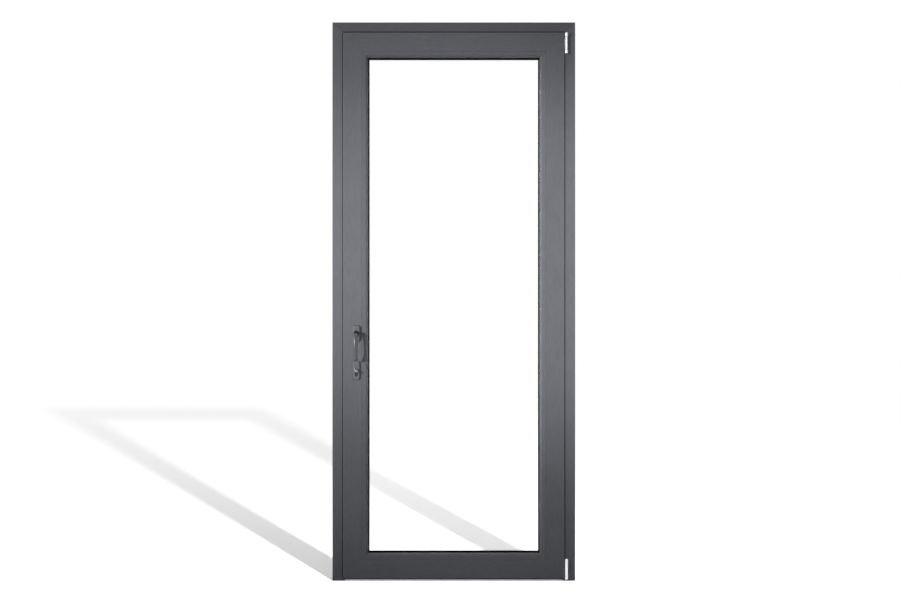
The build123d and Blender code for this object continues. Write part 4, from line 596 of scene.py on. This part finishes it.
class CASEMENT_OT_lever(bpy.types.Operator):
    """Model the lever: a tapered grip bowed into the room on a turned neck"""

    bl_idname = "casement.lever"
    bl_label = "Model the lever"

    def execute(self, context):
        sizes = context.scene.casement_sizes
        low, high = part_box("handle_lever")
        across = (low.x + high.x) / 2
        axis_height = high.z - sizes.head_radius
        top = high.z - sizes.head_drop
        head_height = top - sizes.head_radius
        tip_height = low.z + sizes.tip_radius
        back = low.y + sizes.lever_bow + sizes.lever_thick
        middle = (low.z + top) / 2
        half = (top - low.z) / 2

        # The bow flattens at the middle, a little more above it than below
        upper_curve = 2.6
        lower_curve = 2.2

        def bow(height):
            reach = (height - middle) / half
            if reach > 0:
                return sizes.lever_bow * (1 - reach ** upper_curve)
            return sizes.lever_bow - (sizes.lever_bow + sizes.tip_back) * (-reach) ** lower_curve

        lever = start_disc("lever_grip", sizes.head_radius, (across, back, head_height), vertices=64)
        # The lower half of the circle is drawn down to the tip, which makes the tapered outline
        pick(lever, "VERT", lambda v: v.co.z < head_height - CLOSE)
        bpy.ops.transform.translate(value=(0, 0, tip_height - head_height))
        share = sizes.tip_radius / sizes.head_radius
        bpy.ops.transform.resize(value=(share, share, share), center_override=(across, back, tip_height))
        pick(lever, "FACE", lambda f: True)
        push((0, -sizes.lever_thick, 0))
        rows = 24
        for row in range(1, rows):
            height = tip_height + (head_height - tip_height) * row / rows
            bpy.ops.mesh.select_all(action="SELECT")
            bpy.ops.mesh.bisect(plane_co=(across, back, height), plane_no=(0, 0, 1))
        # Each row moves out along the bow, and the back closes up towards the tip
        mesh = bmesh.from_edit_mesh(lever.data)
        heights = sorted({round(v.co.z, 6) for v in mesh.verts})
        for height in heights:
            pick(lever, "VERT", lambda v: abs(v.co.z - height) < CLOSE)
            bpy.ops.transform.translate(value=(0, -bow(height), 0))
            if height < middle:
                behind = back - bow(height) - sizes.lever_thick / 2
                pick(lever, "VERT", lambda v: abs(v.co.z - height) < CLOSE and v.co.y > behind)
                bpy.ops.transform.translate(value=(0, sizes.tip_thin * (height - middle) / half, 0))
        # The front is crowned almost from edge to edge, and the back only softened
        front_crown = 6.4 * MM
        back_edge = 3 * MM
        for front, offset in ((True, front_crown), (False, back_edge)):
            def on_rim(edge):
                place = (edge.verts[0].co + edge.verts[1].co) / 2
                ahead = place.y < back - bow(place.z) - sizes.lever_thick / 2
                return ahead == front and edge.calc_face_angle(0) > SHARP
            pick(lever, "EDGE", on_rim)
            bpy.ops.mesh.bevel(offset=offset, segments=8, affect="EDGES")
        close_piece()
        # The neck turns in the bush, and inside the collar it narrows to a stem that leans into the head
        neck = start_disc("lever_neck", sizes.neck_radius, (across, high.y, axis_height))
        bush_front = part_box("neck_bush")[0].y
        proud = 1 * MM
        taper = 3 * MM
        lean = 4.6 * MM
        push((0, bush_front - proud - high.y, 0))
        push((0, -taper, 0))
        share = sizes.stem_radius / sizes.neck_radius
        bpy.ops.transform.resize(value=(share, 1, share))
        push((0, back + proud - bush_front, -lean))
        close_piece()
        combine(lever, neck, "UNION")
        # A fine skin softens the joint of neck and grip as casting does
        skin = 0.6 * MM
        apply_modifier(lever, "REMESH", mode="VOXEL", voxel_size=skin)
        apply_modifier(lever, "SMOOTH", factor=0.5, iterations=10)
        finish_piece(lever, bpy.data.materials["powder_coat_grip_painted_shade"], "handle", "coated_handle",
                     "handle_lever", angle=60)
        return {"FINISHED"}


class CASEMENT_OT_collar(bpy.types.Operator):
    """Model the black collar that closes the lever's neck from the bush to the head"""

    bl_idname = "casement.collar"
    bl_label = "Model the neck collar"

    def execute(self, context):
        sizes = context.scene.casement_sizes
        low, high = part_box("neck_bush")
        centre = (low + high) / 2
        # The front covers the spindle's end, and the back clears the bush
        cover = 1.5 * MM
        gap = 0.3 * MM
        wall = 1 * MM
        soft_edge = 0.6 * MM
        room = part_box("handle_spindle")[0].y - cover
        collar = start_disc("neck_collar", sizes.collar_radius, (centre.x, low.y - gap, centre.z), 64)
        push((0, room - low.y + gap, 0))
        pick(collar, "EDGE", lambda e: all(abs(v.co.y - room) < CLOSE for v in e.verts))
        bpy.ops.mesh.bevel(offset=soft_edge, segments=3, affect="EDGES")
        close_piece()
        bore_place = (centre.x, low.y + wall, centre.z)
        drill = start_disc("collar_drill", sizes.collar_radius - wall, bore_place, 64)
        push((0, room - low.y, 0))
        close_piece()
        combine(collar, drill, "DIFFERENCE")
        finish_piece(collar, bpy.data.materials["glass_filled_polyamide"], "handle", "black_plastic")
        return {"FINISHED"}


def model_shade_underlay(name, node):
    """Model a black base rim round a cover plate, painted shade: its dark line stands for the contact shade
    round the plate.
    """
    sizes = bpy.context.scene.casement_sizes
    low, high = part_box(node)
    centre = (low + high) / 2
    rim = sizes.shade_underlay_rim
    base = start_sheet(name, high.x - low.x + 2 * rim, high.z - low.z + 2 * rim,
                       (centre.x, high.y, centre.z))
    bpy.ops.mesh.bevel(offset=sizes.plate_corner + rim, segments=10, affect="VERTICES")
    bpy.ops.mesh.select_mode(type="FACE")
    bpy.ops.mesh.select_all(action="SELECT")
    # Only a rim is kept, so the neck and the cylinder pass through it
    bpy.ops.mesh.inset(thickness=3 * rim)
    bpy.ops.mesh.delete(type="FACE")
    bpy.ops.mesh.select_all(action="SELECT")
    push((0, -rim, 0))
    close_piece()
    finish_piece(base, bpy.data.materials["glass_filled_polyamide"], "sash", "black_plastic")


def model_plate(name, node, room_side, dome, edge):
    """Model a cast cover plate with round corners, a softened rim and a slight dome."""
    sizes = bpy.context.scene.casement_sizes
    low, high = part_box(node)
    centre = (low + high) / 2
    out = -1 if room_side else 1
    back = high.y if room_side else low.y
    depth = high.y - low.y
    plate = start_sheet(name, high.x - low.x, high.z - low.z, (centre.x, back, centre.z))
    bpy.ops.mesh.bevel(offset=sizes.plate_corner, segments=10, affect="VERTICES")
    bpy.ops.mesh.select_all(action="SELECT")
    push((0, out * (depth - dome), 0))
    front = back + out * (depth - dome)
    pick(plate, "FACE", lambda f: all(abs(v.co.y - front) < CLOSE for v in f.verts))
    # The dome rises just inside the softened rim
    dome_inset = 2.2 * edge
    bpy.ops.mesh.inset(thickness=dome_inset)
    bpy.ops.transform.translate(value=(0, out * dome, 0))
    pick(plate, "EDGE", lambda e: all(abs(v.co.y - front) < CLOSE for v in e.verts)
         and e.calc_face_angle(0) > SHARP)
    bpy.ops.mesh.bevel(offset=edge, segments=5, affect="EDGES")
    close_piece()
    return plate


class CASEMENT_OT_rosette(bpy.types.Operator):
    """Model the rosette's cover with its round hole for the neck"""

    bl_idname = "casement.rosette"
    bl_label = "Model the rosette"

    def execute(self, context):
        sizes = context.scene.casement_sizes
        low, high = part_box("rosette_cover")
        plate = model_plate("rosette_plate", "rosette_cover", True, dome=0.5 * MM, edge=2 * MM)
        centre = (low + high) / 2
        gap = 0.6 * MM
        spare = 2 * MM
        drill = start_disc("rosette_drill", sizes.neck_radius + gap, (centre.x, high.y + spare, centre.z))
        push((0, low.y - high.y - 2 * spare, 0))
        close_piece()
        combine(plate, drill, "DIFFERENCE")
        finish_piece(plate, bpy.data.materials["powder_coat"], "sash", "coated_handle", "rosette_cover")
        model_shade_underlay("rosette_shade_underlay", "rosette_cover")
        return {"FINISHED"}


class CASEMENT_OT_escutcheons(bpy.types.Operator):
    """Model the two lock escutcheons with the keyhole shape of the cylinder cut through"""

    bl_idname = "casement.escutcheons"
    bl_label = "Model the escutcheons"

    def execute(self, context):
        body_low, body_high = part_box("cylinder_body")
        gap = 0.2 * MM
        radius = (body_high.x - body_low.x) / 2 + gap
        axis_height = body_high.z - radius + gap
        stem_half = 5.2 * MM
        stem_foot = body_low.z - gap
        spare = 2 * MM
        for name, node, room_side in (("escutcheon_room", "lock_escutcheon_room", True),
                                      ("escutcheon_outside", "lock_escutcheon_outside", False)):
            low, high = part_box(node)
            plate = model_plate(name, node, room_side, dome=0.4 * MM, edge=1.6 * MM)
            centre = (low + high) / 2
            cutter = start_disc(name + "_cutter", radius, (centre.x, high.y + spare, axis_height))
            # The lowest run of the circle drops, almost flat, to the foot of the cylinder's stem
            pick(cutter, "VERT", lambda v: abs(v.co.x - centre.x) < stem_half and v.co.z < axis_height)
            bpy.ops.transform.resize(value=(1, 1, 0.02), center_override=(centre.x, high.y, stem_foot))
            pick(cutter, "FACE", lambda f: True)
            push((0, low.y - high.y - 2 * spare, 0))
            close_piece()
            combine(plate, cutter, "DIFFERENCE")
            finish_piece(plate, bpy.data.materials["powder_coat"], "sash", "coated_handle", node)
        model_shade_underlay("escutcheon_shade_underlay", "lock_escutcheon_room")
        return {"FINISHED"}


class CASEMENT_OT_thumb_turn(bpy.types.Operator):
    """Model the thumb turn: a waisted grip on a round collar"""

    bl_idname = "casement.thumb_turn"
    bl_label = "Model the thumb turn"

    def execute(self, context):
        sizes = context.scene.casement_sizes
        low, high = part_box("thumb_turn")
        centre = (low + high) / 2
        collar_depth = 2 * MM
        collar_edge = 0.6 * MM
        collar = start_disc("thumb_grip", sizes.turn_collar, (centre.x, high.y, centre.z))
        push((0, -collar_depth, 0))
        pick(collar, "EDGE", lambda e: all(abs(v.co.y - high.y + collar_depth) < CLOSE for v in e.verts))
        bpy.ops.mesh.bevel(offset=collar_edge, segments=3, affect="EDGES")
        close_piece()
        sunk = 0.4 * MM
        grip_back = high.y - collar_depth + sunk
        middle = (centre.x, grip_back, centre.z)
        grip = start_sheet("thumb_grip_bar", sizes.turn_length, sizes.turn_thick, middle)
        # The ends are all but half round
        bpy.ops.mesh.bevel(offset=sizes.turn_thick * 0.48, segments=8, affect="VERTICES")
        cut_step = 1.7 * MM
        for cut in range(-4, 5):
            cut_place = (centre.x + cut * cut_step, grip_back, centre.z)
            bpy.ops.mesh.select_all(action="SELECT")
            bpy.ops.mesh.bisect(plane_co=cut_place, plane_no=(1, 0, 0))
        # Each cut is drawn in towards the middle, which makes the waist
        waist_depth = 0.3
        waist_half = 7 * MM
        mesh = bmesh.from_edit_mesh(grip.data)
        places = sorted({round(v.co.x - centre.x, 6) for v in mesh.verts})
        for place in places:
            waist = 1 - waist_depth * max(0, 1 - (place / waist_half) ** 2)
            pick(grip, "VERT", lambda v: abs(v.co.x - centre.x - place) < FINE)
            bpy.ops.transform.resize(value=(1, 1, waist), center_override=middle)
        pick(grip, "FACE", lambda f: True)
        push((0, low.y - grip_back, 0))
        pick(grip, "EDGE", lambda e: all(abs(v.co.y - low.y) < CLOSE for v in e.verts)
             and e.calc_face_angle(0) > SHARP)
        grip_edge = 1.9 * MM
        bpy.ops.mesh.bevel(offset=grip_edge, segments=5, affect="EDGES")
        bpy.ops.mesh.select_all(action="SELECT")
        slant = math.radians(-45)
        bpy.ops.transform.rotate(value=slant, orient_axis="Y", center_override=middle)
        close_piece()
        combine(collar, grip, "UNION")
        finish_piece(collar, bpy.data.materials["powder_coat_turn_painted_highlight"], "thumb_turn", "coated_handle",
                     "thumb_turn")
        return {"FINISHED"}


def island_boxes(node):
    """Boxes of the separate solids in one CAD node, from a merged copy that is then dropped."""
    make_active(frame["nodes"][node])
    bpy.ops.object.duplicate()
    bpy.ops.object.parent_clear(type="CLEAR_KEEP_TRANSFORM")
    bpy.ops.object.mode_set(mode="EDIT")
    bpy.ops.mesh.select_all(action="SELECT")
    bpy.ops.mesh.remove_doubles(threshold=FINE)
    bpy.ops.mesh.separate(type="LOOSE")
    bpy.ops.object.mode_set(mode="OBJECT")
    boxes = []
    for part in bpy.context.selected_objects:
        corners = [Vector(c) for c in part.bound_box]
        boxes.append((Vector(map(min, *corners)), Vector(map(max, *corners))))
    bpy.ops.object.delete()
    return sorted(boxes, key=lambda box: (round(box[0].x, 4), box[0].z, box[0].y))


def model_screw(name, length):
    """Model a countersunk screw along X, its head at the origin facing +X, with a cross recess."""
    sizes = bpy.context.scene.casement_sizes
    head, shank = sizes.screw_head, sizes.screw_shank
    cone = head - shank
    rim = 0.25 * MM
    point = 4 * MM
    face_share = 0.97
    screw = start_piece(bpy.ops.mesh.primitive_circle_add, name, vertices=24, radius=head * face_share,
                        fill_type="NGON", rotation=(0, math.pi / 2, 0))
    # Each run back from the face: its length and how much its end is scaled
    for run, scale in ((rim, 1 / face_share), (cone - rim, shank / head),
                       (length - cone - point, 0.97), (point, 0.2)):
        push((-run, 0, 0))
        bpy.ops.transform.resize(value=(1, scale, scale))
    close_piece()
    # The recess is cut by two crossed blades that narrow inwards
    blade = (2 * MM, 3.6 * MM, 0.9 * MM)
    cutter = start_piece(bpy.ops.mesh.primitive_cube_add, name + "_driver", size=1, location=(0, 0, 0))
    bpy.ops.transform.resize(value=blade, center_override=(0, 0, 0))
    pick(cutter, "FACE", lambda f: f.normal.x < -0.9)
    bpy.ops.transform.resize(value=(1, 0.55, 0.6))
    bpy.ops.mesh.select_all(action="SELECT")
    bpy.ops.mesh.duplicate()
    bpy.ops.transform.rotate(value=math.pi / 2, orient_axis="X", center_override=(0, 0, 0))
    close_piece()
    combine(screw, cutter, "DIFFERENCE", use_self=True)
    return screw


class CASEMENT_OT_screws(bpy.types.Operator):
    """Model one countersunk screw and set a copy wherever the CAD has one"""

    bl_idname = "casement.screws"
    bl_label = "Set the screws"

    def execute(self, context):
        # Each group: its CAD node, its body and the way along X that a head faces
        groups = {
            "hardware_screws_frame": ("frame_hardware_screws", "frame",
                                      lambda box: 1 if box[0].x < 0 else -1),
            "hinge_screws_leaf": ("hinge_sash_screws", "sash", lambda box: 1),
            "strip_screws_leaf": ("faceplate_screws", "sash", lambda box: -1),
        }
        first = island_boxes("faceplate_screws")[0]
        master = model_screw("screw_master", first[1].x - first[0].x)
        for name, (node, body, facing) in groups.items():
            copies = []
            for count, box in enumerate(island_boxes(node)):
                side = facing(box)
                centre = (box[0] + box[1]) / 2
                head = box[1].x if side > 0 else box[0].x
                screw = master.copy()
                screw.data = master.data.copy()
                context.scene.collection.objects.link(screw)
                screw.location = (head, centre.y, centre.z)
                # Each cross stops at its own angle, as driven screws do
                stop = math.radians(37 * count)
                screw.rotation_euler = (stop, 0, 0 if side > 0 else math.pi)
                copies.append(screw)
            joined = join_pieces(copies, name)
            finish_piece(joined, bpy.data.materials["zinc_plate"], body, "zinc_hardware", node)
        bpy.data.objects.remove(master)
        return {"FINISHED"}


def add_lamp(kind, name, place, target, power, receivers, **settings):
    """Add a lamp that points at a target and lights only what its receiver set lets it."""
    data = bpy.data.lights.new(name, kind)
    data.energy = power
    for field, value in settings.items():
        setattr(data, field, value)
    lamp = bpy.data.objects.new(name, data)
    bpy.context.scene.collection.objects.link(lamp)
    lamp.location = place
    lamp.rotation_euler = (Vector(target) - lamp.location).to_track_quat("-Z", "Y").to_euler()
    lamp.visible_camera = False
    lamp.visible_transmission = False
    lamp.light_linking.receiver_collection = receivers
    return lamp


def light_set(name, members, state="INCLUDE"):
    """Collect what a lamp lights or is shaded by, or with EXCLUDE what it passes over."""
    group = bpy.data.collections.new(name)
    for member in members:
        group.objects.link(member)
    for row in group.collection_objects:
        row.light_linking.link_state = state
    return group


def looking_rays(tree):
    """1 for the rays that look at a background, 0 for those that carry light to the window."""
    path = add_node(tree, "ShaderNodeLightPath")
    seen = path.outputs["Is Camera Ray"]
    for kind in ("Is Glossy Ray", "Is Transmission Ray"):
        either = add_node(tree, "ShaderNodeMath", {0: seen, 1: path.outputs[kind]}, operation="MAXIMUM")
        seen = either.outputs[0]
    return seen


# Paper: matt white, takes the shadow by the window and fades to plain white further off
def paper_floor():
    studio = bpy.context.scene.casement_studio
    finish, tree, shader = start_finish("paper_floor", Roughness=1, Specular_IOR_Level=0)
    seen = looking_rays(tree)
    # It is dark to the rays that carry light, so it throws little of it up at the window
    dark, white = linear("505050"), linear("f3f3f3")
    tone = add_node(tree, "ShaderNodeMixRGB",
                    {"Fac": seen, "Color1": (*dark, 1), "Color2": (*white, 1)})
    tree.links.new(tone.outputs["Color"], shader.inputs["Base Color"])
    place = add_node(tree, "ShaderNodeTexCoord")
    away = add_node(tree, "ShaderNodeVectorMath", {0: place.outputs["Object"]}, operation="LENGTH")
    reach = add_node(tree, "ShaderNodeMath", {0: away.outputs["Value"], 1: studio.shadow_reach})
    fade = add_node(tree, "ShaderNodeMath", {0: away.outputs["Value"], 1: reach.outputs[0]},
                    operation="DIVIDE")
    fade = add_node(tree, "ShaderNodeMath", {0: fade.outputs[0], 1: seen}, operation="MULTIPLY")
    plain = add_node(tree, "ShaderNodeEmission", {"Strength": 1})
    paper = add_node(tree, "ShaderNodeMixShader", {"Fac": fade.outputs[0], 1: shader.outputs["BSDF"],
                                                   2: plain.outputs["Emission"]})
    tree.links.new(paper.outputs["Shader"], tree.nodes["Material Output"].inputs["Surface"])
    return finish


def white_world(ambient):
    """White to the rays that look at it, and a weak even light on the window."""
    world = bpy.data.worlds.new("studio_white")
    world.use_nodes = True
    tree = world.node_tree
    level = add_node(tree, "ShaderNodeMapRange",
                     {"Value": looking_rays(tree), "To Min": ambient, "To Max": 1})
    background = tree.nodes["Background"]
    background.inputs["Color"].default_value = (1, 1, 1, 1)
    tree.links.new(level.outputs["Result"], background.inputs["Strength"])
    return world


class CASEMENT_OT_stage(bpy.types.Operator):
    """Set the pale floor, the studio light and the camera"""

    bl_idname = "casement.stage"
    bl_label = "Set the stage"

    def execute(self, context):
        scene = context.scene
        studio = scene.casement_studio
        scene.view_settings.view_transform = "Standard"
        scene.world = white_world(studio.ambient)
        bpy.ops.object.select_all(action="DESELECT")
        bpy.ops.mesh.primitive_circle_add(vertices=96, radius=studio.floor_radius, fill_type="NGON")
        floor = context.object
        floor.name = "studio_floor"
        coat(floor, paper_floor())
        handle_set = [bpy.data.objects[name] for name in (
            "lever_grip", "neck_collar", "rosette_plate", "escutcheon_room", "thumb_grip")]
        lock_and_hinges = [frame["nodes"][name] for name in (
            "cylinder_body", "top_hinge_frame_leaf", "top_hinge_sash_leaf",
            "bottom_hinge_bearing", "bottom_hinge_sash_leaf")]
        floor_only = light_set("floor_light", [floor])
        not_floor = light_set("window_light", [floor], "EXCLUDE")
        fill_reach = light_set("fill_light", [floor] + handle_set, "EXCLUDE")
        proud = light_set("key_blockers", handle_set + lock_and_hinges)
        # Spots fade the light towards the top and foot of the window, and only what stands proud shades it
        spot_away = 10
        spot_over = Vector((0, 0, 1.42))
        rise = math.radians(7)
        aim_height = 1.34
        # Each spot: power, cone and turn in degrees, aim across, what it lights and what shades it
        for name, power, cone, turn, across, lit, blockers in (
            ("key_core", 0.48 * studio.key_power, 11, -42, 0.12, not_floor, proud),
            ("key_wide", 0.52 * studio.key_power, 17.4, -42, -0.24, not_floor, proud),
            ("fill", studio.fill_power, 11, 50, 0.42, fill_reach, floor_only),
        ):
            turn = math.radians(turn)
            level = math.cos(rise)
            away = Vector((math.sin(turn) * level, -math.cos(turn) * level, math.sin(rise)))
            spot = add_lamp("SPOT", name, spot_over + spot_away * away, (across, cad_low.y, aim_height),
                            power, lit, spot_size=math.radians(cone), spot_blend=1, shadow_soft_size=0.1)
            spot.light_linking.blocker_collection = blockers
        add_lamp("AREA", "back_soft", (1.5, 5, 3.2), (0, 0, 1.2), studio.back_power, not_floor, size=2.5)
        add_lamp("AREA", "top_soft", (0, -0.9, 4.2), (0, 0, 0.6), studio.top_power, not_floor, size=1.2)
        wash = add_lamp("SUN", "floor_wash", (0, 0, 6), (0, 0, 0), studio.wash_power, floor_only,
                        angle=math.radians(60))
        wash.light_linking.blocker_collection = floor_only
        # The lamp that throws the window's shadow is close, so the shadow spreads as it runs back
        lamp = add_lamp("POINT", "floor_shadow", (2.44, -9.17, 4.09), (0, 0, 0), studio.shadow_power,
                        floor_only, shadow_soft_size=0.12)
        lamp.data.use_nodes = True
        tree = lamp.data.node_tree
        even = add_node(tree, "ShaderNodeLightFalloff", {"Strength": 1})
        tree.links.new(even.outputs["Constant"], tree.nodes["Emission"].inputs["Strength"])
        # The camera is level and square to the window, a little left of its middle
        camera = bpy.data.objects.new("camera", bpy.data.cameras.new("camera"))
        scene.collection.objects.link(camera)
        camera.location = (-0.0157, -7.531, 1.1565)
        camera.rotation_euler = (math.pi / 2, 0, 0)
        camera.data.lens = studio.lens
        camera.data.sensor_width = 36
        scene.camera = camera
        return {"FINISHED"}


class CASEMENT_PT_sidebar(bpy.types.Panel):
    """Lists the settings and the steps of the window"""

    bl_label = "Foiled casement"
    bl_idname = "CASEMENT_PT_sidebar"
    bl_space_type = "VIEW_3D"
    bl_region_type = "UI"
    bl_category = "Casement"

    def draw(self, context):
        scene = context.scene
        for settings in (scene.casement_finishes, scene.casement_sizes, scene.casement_studio):
            box = self.layout.box()
            for name in settings.__annotations__:
                box.prop(settings, name)
        for operator in OPERATORS:
            self.layout.operator(operator.bl_idname)


GROUPS = {
    "casement_finishes": CasementFinishes,
    "casement_sizes": CasementSizes,
    "casement_studio": CasementStudio,
}
OPERATORS = (
    CASEMENT_OT_profiles,
    CASEMENT_OT_glazing,
    CASEMENT_OT_seal_lips,
    CASEMENT_OT_fittings,
    CASEMENT_OT_lever,
    CASEMENT_OT_collar,
    CASEMENT_OT_rosette,
    CASEMENT_OT_escutcheons,
    CASEMENT_OT_thumb_turn,
    CASEMENT_OT_screws,
    CASEMENT_OT_stage,
)


def register():
    """Add the settings, steps and panel to Blender."""
    for name, group in GROUPS.items():
        bpy.utils.register_class(group)
        setattr(bpy.types.Scene, name, PointerProperty(type=group))
    for operator in OPERATORS:
        bpy.utils.register_class(operator)
    bpy.utils.register_class(CASEMENT_PT_sidebar)


def unregister():
    """Take the settings, steps and panel out again."""
    bpy.utils.unregister_class(CASEMENT_PT_sidebar)
    for operator in reversed(OPERATORS):
        bpy.utils.unregister_class(operator)
    for name, group in GROUPS.items():
        delattr(bpy.types.Scene, name)
        bpy.utils.unregister_class(group)


def main():
    """Run every step in order."""
    register()
    bpy.ops.casement.profiles()
    bpy.ops.casement.glazing()
    bpy.ops.casement.seal_lips()
    bpy.ops.casement.fittings()
    bpy.ops.casement.lever()
    bpy.ops.casement.collar()
    bpy.ops.casement.rosette()
    bpy.ops.casement.escutcheons()
    bpy.ops.casement.thumb_turn()
    bpy.ops.casement.screws()
    bpy.ops.casement.stage()


if __name__ == "__main__":
    main()
